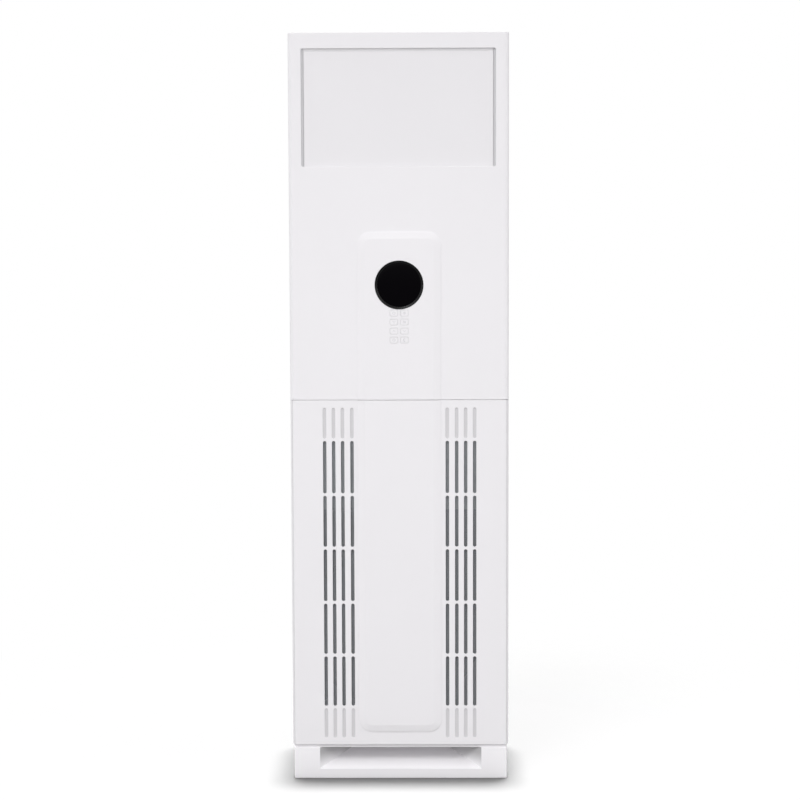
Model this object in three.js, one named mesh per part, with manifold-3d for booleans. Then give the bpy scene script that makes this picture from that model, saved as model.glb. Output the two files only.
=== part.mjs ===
// Floor standing air conditioner, indoor column unit. Millimetres, X right, Y to the rear, Z up.
// The origin lies on the floor, under the middle of the cabinet.
import * as THREE from 'three';
import { mergeGeometries, mergeVertices } from 'three/addons/utils/BufferGeometryUtils.js';
import Module from 'manifold-3d';

const wasm = await Module();
wasm.setup();

// Cabinet
const width = 510;
const depth = 315;
const height = 1750;
const halfWidth = width / 2;
const frontY = -depth / 2;
const rearY = depth / 2;
const fit = 0.3; // gap between pieces that rest on each other
const past = 1; // how far a cutting shape runs past the face that it cuts
const sheet = 1.5; // thickness of the steel panels
const plinthHeight = 74;
const plinthInset = 3;
const rearSpace = 7.5; // from the plinth's back to the wall
const baseThickness = 6.4;
const baseInset = 4;
const baseRearInset = 2;
const cabinetBottom = plinthHeight + baseThickness + 2 * fit;

// Front panels and the raised band that runs over both
const bandHeight = 3.5;
const bandStep = 1.5;
const bandHalfWidth = 97;
const bandSlope = 17;
const bandBottom = 112.7;
const bandRadius = 30;
const panelWall = 3;
const wrapDepth = 24;
const cornerRadius = 10;
const seamZ = 901.8;
const seamGap = 1;
const seamTongueReach = 12;
const seamTongueInset = 13;
const seamTongueHalfWidth = halfWidth - seamTongueInset;
const seamTongueWall = 2.2;
const faceY = frontY + bandHeight;
const panelBackY = faceY + panelWall;
const wrapY = faceY + wrapDepth;
const intakeTop = seamZ - seamGap / 2;
const upperBottom = seamZ + seamGap / 2;
const sideFrontY = wrapY + fit;

// Outlet opening and the door that slides down behind the upper panel
const outletSideFrame = 30.3;
const outletTopFrame = 36;
const outletHeight = 270.5;
const outletRadius = 4;
const doorSideGap = 5.7;
const doorTopGap = 5;
const doorOverlap = 18.5;
const doorClearance = 1.5;
const doorThickness = 5;
const doorLipReach = 2; // above the outlet's edge
const doorLipThickness = 3;
const doorLipClearance = 0.8;
const doorSunk = 10;
const tongueThickness = 2.2;
const tongueWidth = 3.5;
const railClearance = 0.4;
const railWidth = 11.4;
const railDepth = 9.2;
const railOverlap = 2;
const railSpare = 10;
const outletHalfWidth = halfWidth - outletSideFrame;
const outletTop = height - outletTopFrame;
const outletBottom = outletTop - outletHeight;
const doorHalfWidth = outletHalfWidth - doorSideGap;
const doorTop = outletTop - doorTopGap;
const doorBottom = outletBottom - doorOverlap;
const doorFrontY = panelBackY + doorClearance;
const doorBackY = doorFrontY + doorThickness;
const doorTravel = doorTop - outletBottom + doorSunk;
const railInnerX = doorHalfWidth + 2 * fit;
const railTop = outletTop + railOverlap;
const railBottom = doorBottom - doorTravel - railSpare;

// Rack and pinion drive of the door
const gearModule = 3;
const pinionTeeth = 10;
const pressureAngle = THREE.MathUtils.degToRad(25);
const addendum = 0.7 * gearModule;
const dedendum = 0.8 * gearModule;
const backlash = 0.6;
const meshClearance = 0.2;
const rackWidth = 10;
const rackBase = 1.5;
const rackLeg = 35;
const rackInset = 4;
const shaftRadius = 4;
const lugThickness = 3.5;
const lugHalfHeight = 12;
const shaftDrop = 16; // below the door's lower edge
const doorMotorRadius = 15.5;
const doorMotorLength = 24;
const pitchRadius = gearModule * pinionTeeth / 2;
const toothPitch = Math.PI * gearModule;
const rackRootY = doorBackY + rackBase;
const shaftY = rackRootY + dedendum + pitchRadius + meshClearance;
const shaftZ = doorBottom - shaftDrop;
const rackCentreX = doorHalfWidth - rackInset - rackWidth / 2;
const lugOuterX = railInnerX + lugThickness;

// Round display, halfway between seam and outlet, and the two columns of keys under it
const displayDrop = 2.65;
const displayRadius = 56.5;
const bandAboveDisplay = 123;
const keysBelowDisplay = 65;
const bezelWall = 2.2;
const bezelFloor = 1.2;
const bezelLedge = 3.3;
const windowThickness = 2.5;
const windowRecess = 0.2;
const keyColumnX = 12.2;
const keyPitch = 21;
const keyRows = 4;
const keyWidth = 18;
const keyHeight = 14;
const keyRadius = 3;
const keyTravel = 1;
const keyFlange = 1.5;
const keyNub = 1.5;
const keyNubRadius = 2;
const boardThickness = 1.6;
const switchHeight = 1.5;
const switchSize = 6;
const boardMargin = 12;
const bossRadius = 3;
const bossInset = 4;
const displayZ = (seamZ + outletBottom) / 2 - displayDrop;
const bandTop = displayZ + bandAboveDisplay;
const keyTopZ = displayZ - keysBelowDisplay;
const bezelBackY = panelBackY - fit;
const flangeBackY = panelBackY + fit + keyFlange;
const nubTipY = flangeBackY + keyNub;
const boardFrontY = nubTipY + keyTravel + fit + switchHeight;

// Intake slots and the filters behind them
const slotColumns = [111.5, 133.5, 154.5, 175.5];
const slotWidth = 8;
const slotBridge = 6;
const slotEnds = [171.4, 296.2, 422.6, 551.9, 678.9, 808.4];
const grooveBottom = 97.8;
const grooveTop = 883.6;
const grooveDepth = 2;
const filterInnerX = 98;
const filterOuterX = 191;
const filterBottom = 165;
const filterTop = 815;
const filterThickness = 6;
const filterBorder = 6;
const filterMesh = 1;
const guideWall = 2.5;
const guideLip = 4;
const guideStop = 5; // below the filters
const filterFrontY = panelBackY + fit;
const filterBackY = filterFrontY + filterThickness;

// Outlet duct with louvers and vanes
const ductSideStep = 18.7;
const ductSill = 6.5;
const ductHead = 9;
const ductSetback = 26.5;
const ductRearSpace = 10.5;
const ductInletDepth = 152;
const ductWall = 2.5;
const ductHalfWidth = outletHalfWidth - ductSideStep;
const ductBottom = outletBottom + ductSill;
const ductTop = outletTop - ductHead;
const ductFrontY = frontY + ductSetback;
const ductRearY = rearY - ductRearSpace;
const ductInletY = ductRearY - ductInletDepth;
const louverCount = 4;
const louverRise = 39; // of the lowest louver above the duct's floor
const louverSetback = 31;
const louverSideGap = 8;
const louverFirstZ = ductBottom + louverRise;
const louverPitch = 60;
const louverY = ductFrontY + louverSetback;
const louverChord = 56;
const louverThickness = 4;
const louverEdge = 1.6;
const louverHalfWidth = ductHalfWidth - louverSideGap;
const pivotRadius = 3;
const linkArm = 20;
const linkPinRadius = 2.2;
const linkThickness = 2.5;
const linkHalfWidth = 5;
const pinClearance = 0.4;
const vaneCount = 5;
const vanePitch = 70;
const vaneSetback = 65; // behind the louvers
const vaneY = louverY + vaneSetback;
const vaneChord = 44;
const vaneThickness = 2.5;
const vaneArm = 16;
const vaneGap = 18;
const swingMotorRadius = 14;
const swingMotorLength = 18;
const swingMotorBore = 3;

// Evaporator and the chamber round it
const pipeSpace = 53; // beside the chamber, for bends and pipes
const chamberSetback = 29.5;
const chamberRearGap = 0.1;
const kneeDrop = 33; // bends of the cover, below the door's drive shaft
const neckDrop = 17;
const neckDepth = 27;
const coverGap = 0.6;
const coilLength = 456;
const coilThickness = 44;
const coilFrontGap = 26; // from the neck to the middle of the coil's top
const coilRearGap = 56; // from the middle of its foot to the pan's back
const coilTopGap = 14.5;
const coilFootGap = 8;
const tubePitch = 38;
const tubeRadius = 4.75;
const bendClearance = 4;
const tubeStub = 9;
const panRearSpace = 11.5;
const panWidth = 106;
const panDepth = 24;
const panWall = 2;
const panSpout = 12;
const hoseInset = 10;
const hoseSetback = 18;
const hoseRadius = 9;
const hoseWall = 3;
const hoseBend = 9;
const hoseDrop = 20; // of the hose below the middle of the pipe hole
const spoutWall = 2;
const pipeInset = 15;
const gasPipeRadius = 7.9;
const liquidPipeRadius = 4.75;
const pipeHoleInset = 46;
const pipeHoleZ = 150;
const pipeHoleRadius = 37;
const pipeEndSpace = 10.5;
const gasDropSpace = 57.5;
const liquidDropSpace = 32.5;
const pipeElbow = 60;
const gasPipeBend = 14;
const liquidPipeBend = 10;
const chamberHalfWidth = halfWidth - pipeSpace;
const chamberFrontY = frontY + chamberSetback;
const chamberRearY = rearY - rearSpace - chamberRearGap;
const chamberKneeZ = shaftZ - kneeDrop;
const chamberNeckZ = shaftZ - neckDrop;
const chamberNeckY = chamberFrontY + neckDepth;
const panRearY = rearY - panRearSpace;
const panFrontY = panRearY - panWidth;
const coilTopY = chamberNeckY + coilFrontGap;
const coilFootY = panRearY - coilRearGap;
const coilTilt = Math.asin((coilFootY - coilTopY) / coilLength);
const coilHalfHeight = (coilLength * Math.cos(coilTilt) + coilThickness * Math.sin(coilTilt)) / 2;
const coilY = (coilTopY + coilFootY) / 2;
const coilZ = ductBottom - ductWall - coilTopGap - coilHalfHeight;
const panBottom = coilZ - coilHalfHeight - coilFootGap - panDepth;
const tubePasses = 2 * Math.floor(coilLength / tubePitch / 2); // even, so that both ends are on the left
const tubeStraight = chamberHalfWidth + bendClearance;
const hoseX = hoseInset - chamberHalfWidth;
const hoseY = panRearY - hoseSetback;
const pipeRunX = pipeInset - halfWidth;
const pipeHoleX = pipeHoleInset - halfWidth;
const pipeEndY = rearY - pipeEndSpace;
const gasDropY = rearY - gasDropSpace;
const liquidDropY = rearY - liquidDropSpace;
const gasDropTop = panBottom - pipeElbow;

// Blower
const blowerX = -22;
const blowerZ = 350;
const scrollSideSpace = 33;
const scrollGrowth = 50;
const wheelGap = 14;
const bladeDepth = 24;
const inletStep = 9;
const scrollMaxRadius = halfWidth - scrollSideSpace;
const scrollMinRadius = scrollMaxRadius - scrollGrowth;
const wheelRadius = scrollMinRadius - wheelGap;
const bladeInnerRadius = wheelRadius - bladeDepth;
const wheelFrontY = -58;
const wheelRearY = 46;
const bladeCount = 20;
const bladeThickness = 2;
const bladeLean = THREE.MathUtils.degToRad(25);
const wheelDisc = 2;
const wheelRing = 3;
const hubRadius = 20;
const hubFront = 12;
const hubRear = 8;
const hubClearance = 5;
const blowerShaftRadius = 6;
const shaftFrontY = 32;
const shaftRearY = 75;
const scrollFrontY = -65;
const scrollRearY = 60;
const scrollWall = 2.5;
const scrollTongueAngle = THREE.MathUtils.degToRad(50);
const scrollMouthX = 70;
const inletRadius = bladeInnerRadius - inletStep;
const collarDepth = 8;
const legWidth = 30;
const legLeftX = -135;
const legRightX = 125;
const legReach = 100; // top of the legs, below the wheel's axis
const footDepth = 20;
const footThickness = 3;
const motorRadius = 60;
const motorRearY = 128;
const motorFlangeRadius = 80;
const motorFlange = 3.3;
const deckZ = 640;
const deckThickness = 3;
const deckSideSpace = 29;
const deckSetback = 30.5;
const deckHalfWidth = halfWidth - deckSideSpace;
const deckFrontY = frontY + deckSetback;

// Control box
const boxInset = 3;
const boxSetback = 6;
const boxWidth = 159;
const boxDepth = 44;
const boxHeight = 170;
const boxLeftX = boxInset - chamberHalfWidth;
const boxRightX = boxLeftX + boxWidth;
const boxFrontY = chamberFrontY + boxSetback;
const boxRearY = boxFrontY + boxDepth;
const boxWall = 2;
const circuitBlocks = [ // left, right, bottom, top and rise of each, from the box's corner
  [12, 60, 12, 52, 32],
  [72, 90, 14, 32, 16],
  [96, 114, 14, 32, 16],
  [120, 138, 14, 32, 16],
  [14, 74, 130, 146, 14],
  [90, 118, 80, 108, 5],
];
const capacitorX = 40;
const capacitorZ = 88;
const capacitorRadius = 11;
const capacitorHeight = 30;
const blockSunk = 0.5; // into the board that carries it

// Wall bracket
const bracketHalfWidth = 60;
const bracketHeight = 60;
const bracketDrop = 90;
const bracketTop = height - bracketDrop;
const bracketBottom = bracketTop - bracketHeight;
const bracketSlotX = 35;
const bracketSlotWidth = 8;
const bracketSlotEnd = 15;

// Plinth scoop
const scoopLip = 23;
const scoopHalfWidth = 192;
const scoopBackHalfWidth = 92;
const scoopDepth = 75;

const finishes = {
  whitePlastic: { color: 0xefedf0, roughness: 0.45, metalness: 0 },
  whiteSteel: { color: 0xebe9ec, roughness: 0.5, metalness: 0.1 },
  greyPlastic: { color: 0x55585c, roughness: 0.6, metalness: 0 },
  blackPlastic: { color: 0x18181a, roughness: 0.55, metalness: 0 },
  glossBlack: { color: 0x020203, roughness: 0.08, metalness: 0 },
  galvanised: { color: 0xb4b8bb, roughness: 0.4, metalness: 0.9 },
  aluminium: { color: 0xc9ccce, roughness: 0.35, metalness: 0.95 },
  copper: { color: 0xb87345, roughness: 0.3, metalness: 1 },
  foamGrey: { color: 0x3c3f42, roughness: 0.9, metalness: 0 },
  circuitGreen: { color: 0x1f5a35, roughness: 0.5, metalness: 0 },
};

// Geometry helpers
const plain = (geometry) => {
  const bare = geometry.index ? geometry.clone() : mergeVertices(geometry);
  bare.deleteAttribute('normal');
  bare.deleteAttribute('uv');
  return mergeVertices(bare, 1e-4);
};

const toSolid = (geometry) => {
  const bare = plain(geometry);
  return new wasm.Manifold(new wasm.Mesh({
    numProp: 3,
    vertProperties: new Float32Array(bare.attributes.position.array),
    triVerts: new Uint32Array(bare.index.array),
  }));
};

const toGeometry = (solid) => {
  const mesh = solid.getMesh();
  const geometry = new THREE.BufferGeometry();
  geometry.setAttribute('position', new THREE.BufferAttribute(mesh.vertProperties, 3));
  geometry.setIndex(new THREE.BufferAttribute(mesh.triVerts, 1));
  const faceted = geometry.toNonIndexed();
  faceted.computeVertexNormals();
  return faceted;
};

const join = (...pieces) => toGeometry(pieces.map(toSolid).reduce((all, next) => all.add(next)));
const cut = (body, ...tools) => toGeometry(
  tools.map(toSolid).reduce((rest, tool) => rest.subtract(tool), toSolid(body)),
);
const common = (a, b) => toGeometry(toSolid(a).intersect(toSolid(b)));
const apart = (pieces) => mergeGeometries(pieces.map(plain)); // pieces that don't touch each other

const box = (x0, x1, y0, y1, z0, z1) => new THREE.BoxGeometry(x1 - x0, y1 - y0, z1 - z0)
  .translate((x0 + x1) / 2, (y0 + y1) / 2, (z0 + z1) / 2);

const outline = (points) => new THREE.Shape(points.map(([a, b]) => new THREE.Vector2(a, b)));

const extrude = (shape, from, to, arcSteps = 1) => new THREE.ExtrudeGeometry(shape, {
  depth: to - from,
  bevelEnabled: false,
  curveSegments: arcSteps,
}).translate(0, 0, from);

const alongZ = extrude;
const turnToY = new THREE.Matrix4().makeRotationX(Math.PI / 2);
const turnToX = new THREE.Matrix4().set(0, 0, 1, 0, 1, 0, 0, 0, 0, 1, 0, 0, 0, 0, 0, 1);
const alongY = (shape, y0, y1, arcSteps) => extrude(shape, -y1, -y0, arcSteps).applyMatrix4(turnToY); // shape in X, Z
const alongX = (shape, x0, x1, arcSteps) => extrude(shape, x0, x1, arcSteps).applyMatrix4(turnToX); // shape in Y, Z

const rod = (radius, length, sides) => new THREE.CylinderGeometry(radius, radius, length, sides);
const rodX = (radius, x0, x1, y, z, sides = 12) => rod(radius, x1 - x0, sides).rotateZ(Math.PI / 2)
  .translate((x0 + x1) / 2, y, z);
const rodY = (radius, y0, y1, x, z, sides = 12) => rod(radius, y1 - y0, sides).translate(x, (y0 + y1) / 2, z);
const rodZ = (radius, z0, z1, x, y, sides = 12) => rod(radius, z1 - z0, sides).rotateX(Math.PI / 2)
  .translate(x, y, (z0 + z1) / 2);

const roundedRect = (x0, x1, z0, z1, radius) => {
  const shape = new THREE.Shape();
  shape.absarc(x1 - radius, z0 + radius, radius, -Math.PI / 2, 0);
  shape.absarc(x1 - radius, z1 - radius, radius, 0, Math.PI / 2);
  shape.absarc(x0 + radius, z1 - radius, radius, Math.PI / 2, Math.PI);
  shape.absarc(x0 + radius, z0 + radius, radius, Math.PI, 1.5 * Math.PI);
  return shape;
};

// A solid between convex outlines in X, Z of equal point counts, each at its own depth, front to rear
const loftY = (layers) => {
  const count = layers[0].points.length;
  const positions = layers.flatMap(({ y, points }) => points.flatMap((p) => [p.x, y, p.y]));
  const indices = [];
  for (let i = 1; i < count - 1; i += 1) {
    const last = (layers.length - 1) * count;
    indices.push(0, i, i + 1, last, last + i + 1, last + i);
  }
  for (let layer = 0; layer < layers.length - 1; layer += 1) {
    for (let i = 0; i < count; i += 1) {
      const a = layer * count + i;
      const b = layer * count + (i + 1) % count;
      indices.push(a, a + count, b, b, a + count, b + count);
    }
  }
  const geometry = new THREE.BufferGeometry();
  geometry.setAttribute('position', new THREE.Float32BufferAttribute(positions, 3));
  geometry.setIndex(indices);
  return geometry;
};

const rectPoints = (halfX, z0, z1) => outline([[-halfX, z0], [halfX, z0], [halfX, z1], [-halfX, z1]]).getPoints();

const unit = new THREE.Group();
const add = (name, geometry, finish, place = [0, 0, 0]) => {
  const mesh = new THREE.Mesh(geometry, new THREE.MeshStandardMaterial(finish));
  mesh.name = name;
  mesh.position.set(...place);
  unit.add(mesh);
  return mesh;
};

// Plinth: a hollow tray, open below, with a scoop between two foot blocks
const plinthHalfWidth = halfWidth - plinthInset;
const plinthRearY = rearY - rearSpace;
const scoop = (wall) => loftY([
  { y: faceY - past, points: rectPoints(scoopHalfWidth + wall, scoopLip - wall, plinthHeight + past) },
  { y: faceY, points: rectPoints(scoopHalfWidth + wall, scoopLip - wall, plinthHeight + past) },
  { y: faceY + scoopDepth + wall, points: rectPoints(scoopBackHalfWidth + wall, plinthHeight - wall, plinthHeight + past) },
]);
const plinthHollow = cut(
  box(
    -plinthHalfWidth + panelWall, plinthHalfWidth - panelWall,
    faceY + panelWall, plinthRearY - panelWall,
    -past, plinthHeight - panelWall,
  ),
  scoop(panelWall + past),
);
add('base_plinth', cut(
  box(-plinthHalfWidth, plinthHalfWidth, faceY, plinthRearY, 0, plinthHeight),
  scoop(0),
  plinthHollow,
), finishes.whitePlastic);

// Base pan, set back all round so that it reads as a dark line
const baseTop = cabinetBottom - fit;
add('base_pan', box(
  -halfWidth + baseInset, halfWidth - baseInset,
  faceY + baseInset, plinthRearY - baseRearInset,
  plinthHeight + fit, baseTop,
), finishes.whitePlastic);

// Steel side panels with a rear flange, the rear panel and the top cover
const coverThickness = 3;
const sideTop = height - coverThickness - fit;
const sideRearY = plinthRearY;
const flangeWidth = 15;
const sidePanel = (side) => alongZ(outline([
  [side * halfWidth, sideFrontY],
  [side * halfWidth, sideRearY],
  [side * (halfWidth - flangeWidth), sideRearY],
  [side * (halfWidth - flangeWidth), sideRearY - sheet],
  [side * (halfWidth - sheet), sideRearY - sheet],
  [side * (halfWidth - sheet), sideFrontY],
]), cabinetBottom, sideTop);
add('left_side_panel', sidePanel(-1), finishes.whiteSteel);
add('right_side_panel', sidePanel(1), finishes.whiteSteel);

const rearPanelInset = 2;
const rearPanelFront = sideRearY + fit;
const rearPanelBack = rearPanelFront + sheet;
add('rear_panel', cut(
  box(-halfWidth + rearPanelInset, halfWidth - rearPanelInset, rearPanelFront, rearPanelBack, cabinetBottom, sideTop),
  rodY(pipeHoleRadius, rearPanelFront - past, rearPanelBack + past, pipeHoleX, pipeHoleZ, 20),
), finishes.whiteSteel);

const coverHalfWidth = halfWidth - panelWall - fit;
const coverCorner = cornerRadius - panelWall - fit;
const coverShape = outline([[-halfWidth, rearPanelBack], [-halfWidth, sideFrontY], [-coverHalfWidth, sideFrontY]]);
coverShape.absarc(coverCorner - coverHalfWidth, faceY + cornerRadius, coverCorner, Math.PI, 1.5 * Math.PI);
coverShape.absarc(coverHalfWidth - coverCorner, faceY + cornerRadius, coverCorner, 1.5 * Math.PI, 2 * Math.PI);
coverShape.lineTo(coverHalfWidth, sideFrontY);
coverShape.lineTo(halfWidth, sideFrontY);
coverShape.lineTo(halfWidth, rearPanelBack);
add('top_cover', alongZ(coverShape, height - coverThickness, height, 3), finishes.whitePlastic);

add('wall_bracket', cut(
  box(-bracketHalfWidth, bracketHalfWidth, rearPanelBack + fit, rearY, bracketBottom, bracketTop),
  ...[-bracketSlotX, bracketSlotX].map((x) => alongY(
    roundedRect(
      x - bracketSlotWidth / 2, x + bracketSlotWidth / 2,
      bracketBottom + bracketSlotEnd, bracketTop - bracketSlotEnd,
      bracketSlotWidth / 2,
    ),
    rearPanelBack,
    rearY + past,
  )),
), finishes.galvanised);

// Front panels: a shell that wraps round the front corners, with the raised band on it
const shell = (z0, z1) => {
  const cornerX = halfWidth - cornerRadius;
  const cornerY = faceY + cornerRadius;
  const inner = cornerRadius - panelWall;
  const section = new THREE.Shape();
  section.moveTo(-halfWidth, wrapY);
  section.absarc(-cornerX, cornerY, cornerRadius, Math.PI, 1.5 * Math.PI);
  section.absarc(cornerX, cornerY, cornerRadius, 1.5 * Math.PI, 2 * Math.PI);
  section.lineTo(halfWidth, wrapY);
  section.lineTo(halfWidth - panelWall, wrapY);
  section.absarc(cornerX, cornerY, inner, 2 * Math.PI, 1.5 * Math.PI, true);
  section.absarc(-cornerX, cornerY, inner, 1.5 * Math.PI, Math.PI, true);
  section.lineTo(-halfWidth + panelWall, wrapY);
  return alongZ(section, z0, z1, 3);
};

const bandOutline = (inset) => roundedRect(
  -bandHalfWidth + inset, bandHalfWidth - inset,
  bandBottom + inset, bandTop - inset,
  bandRadius - inset,
).getPoints(3).slice(0, -1);
const band = loftY([
  { y: frontY, points: bandOutline(bandSlope) },
  { y: faceY - bandStep, points: bandOutline(0) },
  { y: faceY + past, points: bandOutline(0) },
]);
const bandPart = (z0, z1) => common(band, box(-halfWidth, halfWidth, frontY - past, panelBackY, z0, z1));

const keySpots = [];
for (let row = 0; row < keyRows; row += 1) {
  [-keyColumnX, keyColumnX].forEach((x) => keySpots.push({ x, z: keyTopZ - row * keyPitch }));
}
const keyShape = (x, z, clearance) => roundedRect(
  x - keyWidth / 2 - clearance, x + keyWidth / 2 + clearance,
  z - keyHeight / 2 - clearance, z + keyHeight / 2 + clearance,
  keyRadius + clearance,
);
const boardHalfWidth = keyColumnX + keyWidth / 2 + boardMargin;
const boardTop = keyTopZ + boardMargin;
const boardBottom = keyTopZ - (keyRows - 1) * keyPitch - boardMargin;
const boardBosses = [-1, 1].flatMap((side) => [boardBottom + bossInset, boardTop - bossInset].map((z) => rodY(
  bossRadius,
  panelBackY - past,
  boardFrontY - fit,
  side * (boardHalfWidth - bossInset),
  z,
  8,
)));

const seamTongue = join(
  box(
    -seamTongueHalfWidth, seamTongueHalfWidth,
    panelBackY - past, panelBackY + fit + seamTongueWall,
    upperBottom, upperBottom + seamTongueReach,
  ),
  box(
    -seamTongueHalfWidth, seamTongueHalfWidth,
    panelBackY + fit, panelBackY + fit + seamTongueWall,
    upperBottom - seamTongueReach, upperBottom + past,
  ),
);
add('upper_front_panel', cut(
  join(shell(upperBottom, height), bandPart(upperBottom, height), seamTongue, ...boardBosses),
  alongY(
    roundedRect(-outletHalfWidth, outletHalfWidth, outletBottom, outletTop, outletRadius),
    frontY - past,
    panelBackY + past,
  ),
  rodY(displayRadius + fit, frontY - past, panelBackY + past, 0, displayZ, 36),
  apart(keySpots.map(({ x, z }) => alongY(keyShape(x, z, fit), frontY - past, panelBackY + past))),
), finishes.whitePlastic);

// Intake panel: through slots in rows, blind grooves above and below them, filter guides behind
const slotShape = (x, z0, z1) => roundedRect(x - slotWidth / 2, x + slotWidth / 2, z0, z1, slotWidth / 2);
const columns = slotColumns.flatMap((x) => [-x, x]);
const throughSlots = slotEnds.slice(0, -1).flatMap((z0, row) => columns.map((x) => alongY(
  slotShape(x, z0 + slotBridge / 2, slotEnds[row + 1] - slotBridge / 2),
  frontY - past,
  panelBackY + past,
)));
const grooves = columns.flatMap((x) => [
  [grooveBottom, slotEnds[0] - slotBridge / 2],
  [slotEnds.at(-1) + slotBridge / 2, grooveTop],
].map(([z0, z1]) => alongY(slotShape(x, z0, z1), frontY - past, faceY + grooveDepth)));
const guideBackY = filterBackY + fit + guideWall;
const guideBottom = filterBottom - guideStop;
const filterGuides = [-1, 1].flatMap((side) => {
  const spanX = (a, b) => [Math.min(side * a, side * b), Math.max(side * a, side * b)];
  const outerWall = filterOuterX + fit;
  const innerWall = filterInnerX - fit;
  const guideTop = filterTop - filterBorder;
  return [
    box(...spanX(outerWall, outerWall + guideWall), panelBackY - past, guideBackY, guideBottom, guideTop),
    box(...spanX(outerWall - guideLip, outerWall + guideWall), filterBackY + fit, guideBackY, guideBottom, guideTop),
    box(...spanX(innerWall - guideWall, innerWall), panelBackY - past, guideBackY, guideBottom, guideTop),
    box(...spanX(innerWall - guideWall, innerWall + guideLip), filterBackY + fit, guideBackY, guideBottom, guideTop),
    box(
      ...spanX(innerWall - guideWall, outerWall + guideWall),
      panelBackY - past, guideBackY,
      guideBottom, filterBottom - fit,
    ),
  ];
});
add('intake_panel', cut(
  join(shell(cabinetBottom, intakeTop), bandPart(cabinetBottom, intakeTop), ...filterGuides),
  apart(throughSlots),
  apart(grooves),
), finishes.whitePlastic);

// The filters' crossbars hide behind the bridges between the slots
const barBottoms = [
  filterBottom,
  ...slotEnds.slice(1, -1).map((z) => z - filterBorder / 2),
  filterTop - filterBorder,
];
const filterWindow = (x0, x1, row) => {
  const z0 = barBottoms[row] + filterBorder;
  const z1 = barBottoms[row + 1];
  const meshFront = (filterFrontY + filterBackY - filterMesh) / 2;
  return apart([
    box(x0, x1, filterFrontY - past, meshFront, z0, z1),
    box(x0, x1, meshFront + filterMesh, filterBackY + past, z0, z1),
  ]);
};
const filter = (x0, x1) => cut(
  box(x0, x1, filterFrontY, filterBackY, filterBottom, filterTop),
  apart(barBottoms.slice(1).map((_, row) => filterWindow(x0 + filterBorder, x1 - filterBorder, row))),
);
add('left_filter', filter(-filterOuterX, -filterInnerX), finishes.greyPlastic);
add('right_filter', filter(filterInnerX, filterOuterX), finishes.greyPlastic);

// Outlet door with a guide tongue along each side, a lip behind the outlet's upper edge, and a
// rack on its back at each end
const rackTooth = (z) => {
  const flank = Math.tan(pressureAngle);
  const halfAtPitch = (toothPitch - backlash) / 4;
  const pitchY = rackRootY + dedendum;
  return [
    [rackRootY, z - halfAtPitch - dedendum * flank],
    [pitchY + addendum, z - halfAtPitch + addendum * flank],
    [pitchY + addendum, z + halfAtPitch - addendum * flank],
    [rackRootY, z + halfAtPitch + dedendum * flank],
  ];
};
const rackBottom = doorBottom - rackLeg;
const rack = (x) => {
  const firstTooth = shaftZ + toothPitch / 2 - toothPitch * Math.floor((shaftZ - rackBottom) / toothPitch);
  const teeth = [];
  for (let z = firstTooth; z < doorTop - toothPitch; z += toothPitch) teeth.push(...rackTooth(z));
  return alongX(outline([
    [doorBackY - past, rackBottom],
    [rackRootY, rackBottom],
    ...teeth,
    [rackRootY, doorTop - 2],
    [doorBackY - past, doorTop - 2],
  ]), x - rackWidth / 2, x + rackWidth / 2);
};
const rackLegs = [-rackCentreX, rackCentreX].map((x) => box(
  x - rackWidth / 2, x + rackWidth / 2,
  doorFrontY + past, rackRootY,
  rackBottom, doorBottom + 5,
));
const tongueFrontY = doorBackY - tongueThickness;
const tongueX = doorHalfWidth + tongueWidth;
add('outlet_door', join(
  alongZ(outline([
    [-tongueX, doorBackY],
    [-tongueX, tongueFrontY],
    [-doorHalfWidth, tongueFrontY],
    [-doorHalfWidth, doorFrontY],
    [doorHalfWidth, doorFrontY],
    [doorHalfWidth, tongueFrontY],
    [tongueX, tongueFrontY],
    [tongueX, doorBackY],
  ]), doorBottom, doorTop),
  box(
    -doorHalfWidth, doorHalfWidth,
    panelBackY + doorLipClearance, panelBackY + doorLipClearance + doorLipThickness,
    doorTop - past, outletTop + doorLipReach,
  ),
  rack(-rackCentreX),
  rack(rackCentreX),
  ...rackLegs,
), finishes.whitePlastic);

// Door rails, each with a lug that carries the drive shaft
const railFrontY = panelBackY + fit;
const railBackY = railFrontY + railDepth;
const doorRail = (side) => {
  const grooveX = tongueX + railClearance + fit;
  const section = outline([
    [side * railInnerX, railFrontY],
    [side * (railInnerX + railWidth), railFrontY],
    [side * (railInnerX + railWidth), railBackY],
    [side * railInnerX, railBackY],
    [side * railInnerX, doorBackY + railClearance],
    [side * grooveX, doorBackY + railClearance],
    [side * grooveX, tongueFrontY - railClearance],
    [side * railInnerX, tongueFrontY - railClearance],
  ]);
  const lugX = [side * railInnerX, side * lugOuterX].sort((a, b) => a - b);
  const lug = box(...lugX, railBackY - past, shaftY + lugHalfHeight, shaftZ - lugHalfHeight, shaftZ + lugHalfHeight);
  return cut(
    join(alongZ(section, railBottom, railTop), lug),
    rodX(shaftRadius + fit, lugX[0] - past, lugX[1] + past, shaftY, shaftZ, 16),
  );
};
add('left_door_rail', doorRail(-1), finishes.whitePlastic);
add('right_door_rail', doorRail(1), finishes.whitePlastic);

const motorFaceX = lugOuterX + fit;
const shaftEndX = motorFaceX + 6;
add('door_motor', cut(
  rodX(doorMotorRadius, motorFaceX, motorFaceX + doorMotorLength, shaftY, shaftZ, 24),
  rodX(shaftRadius + fit, motorFaceX - past, shaftEndX + fit, shaftY, shaftZ, 16),
), finishes.galvanised);
add('door_shaft', rodX(shaftRadius, -lugOuterX, shaftEndX, 0, 0, 16), finishes.galvanised, [0, shaftY, shaftZ]);

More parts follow.
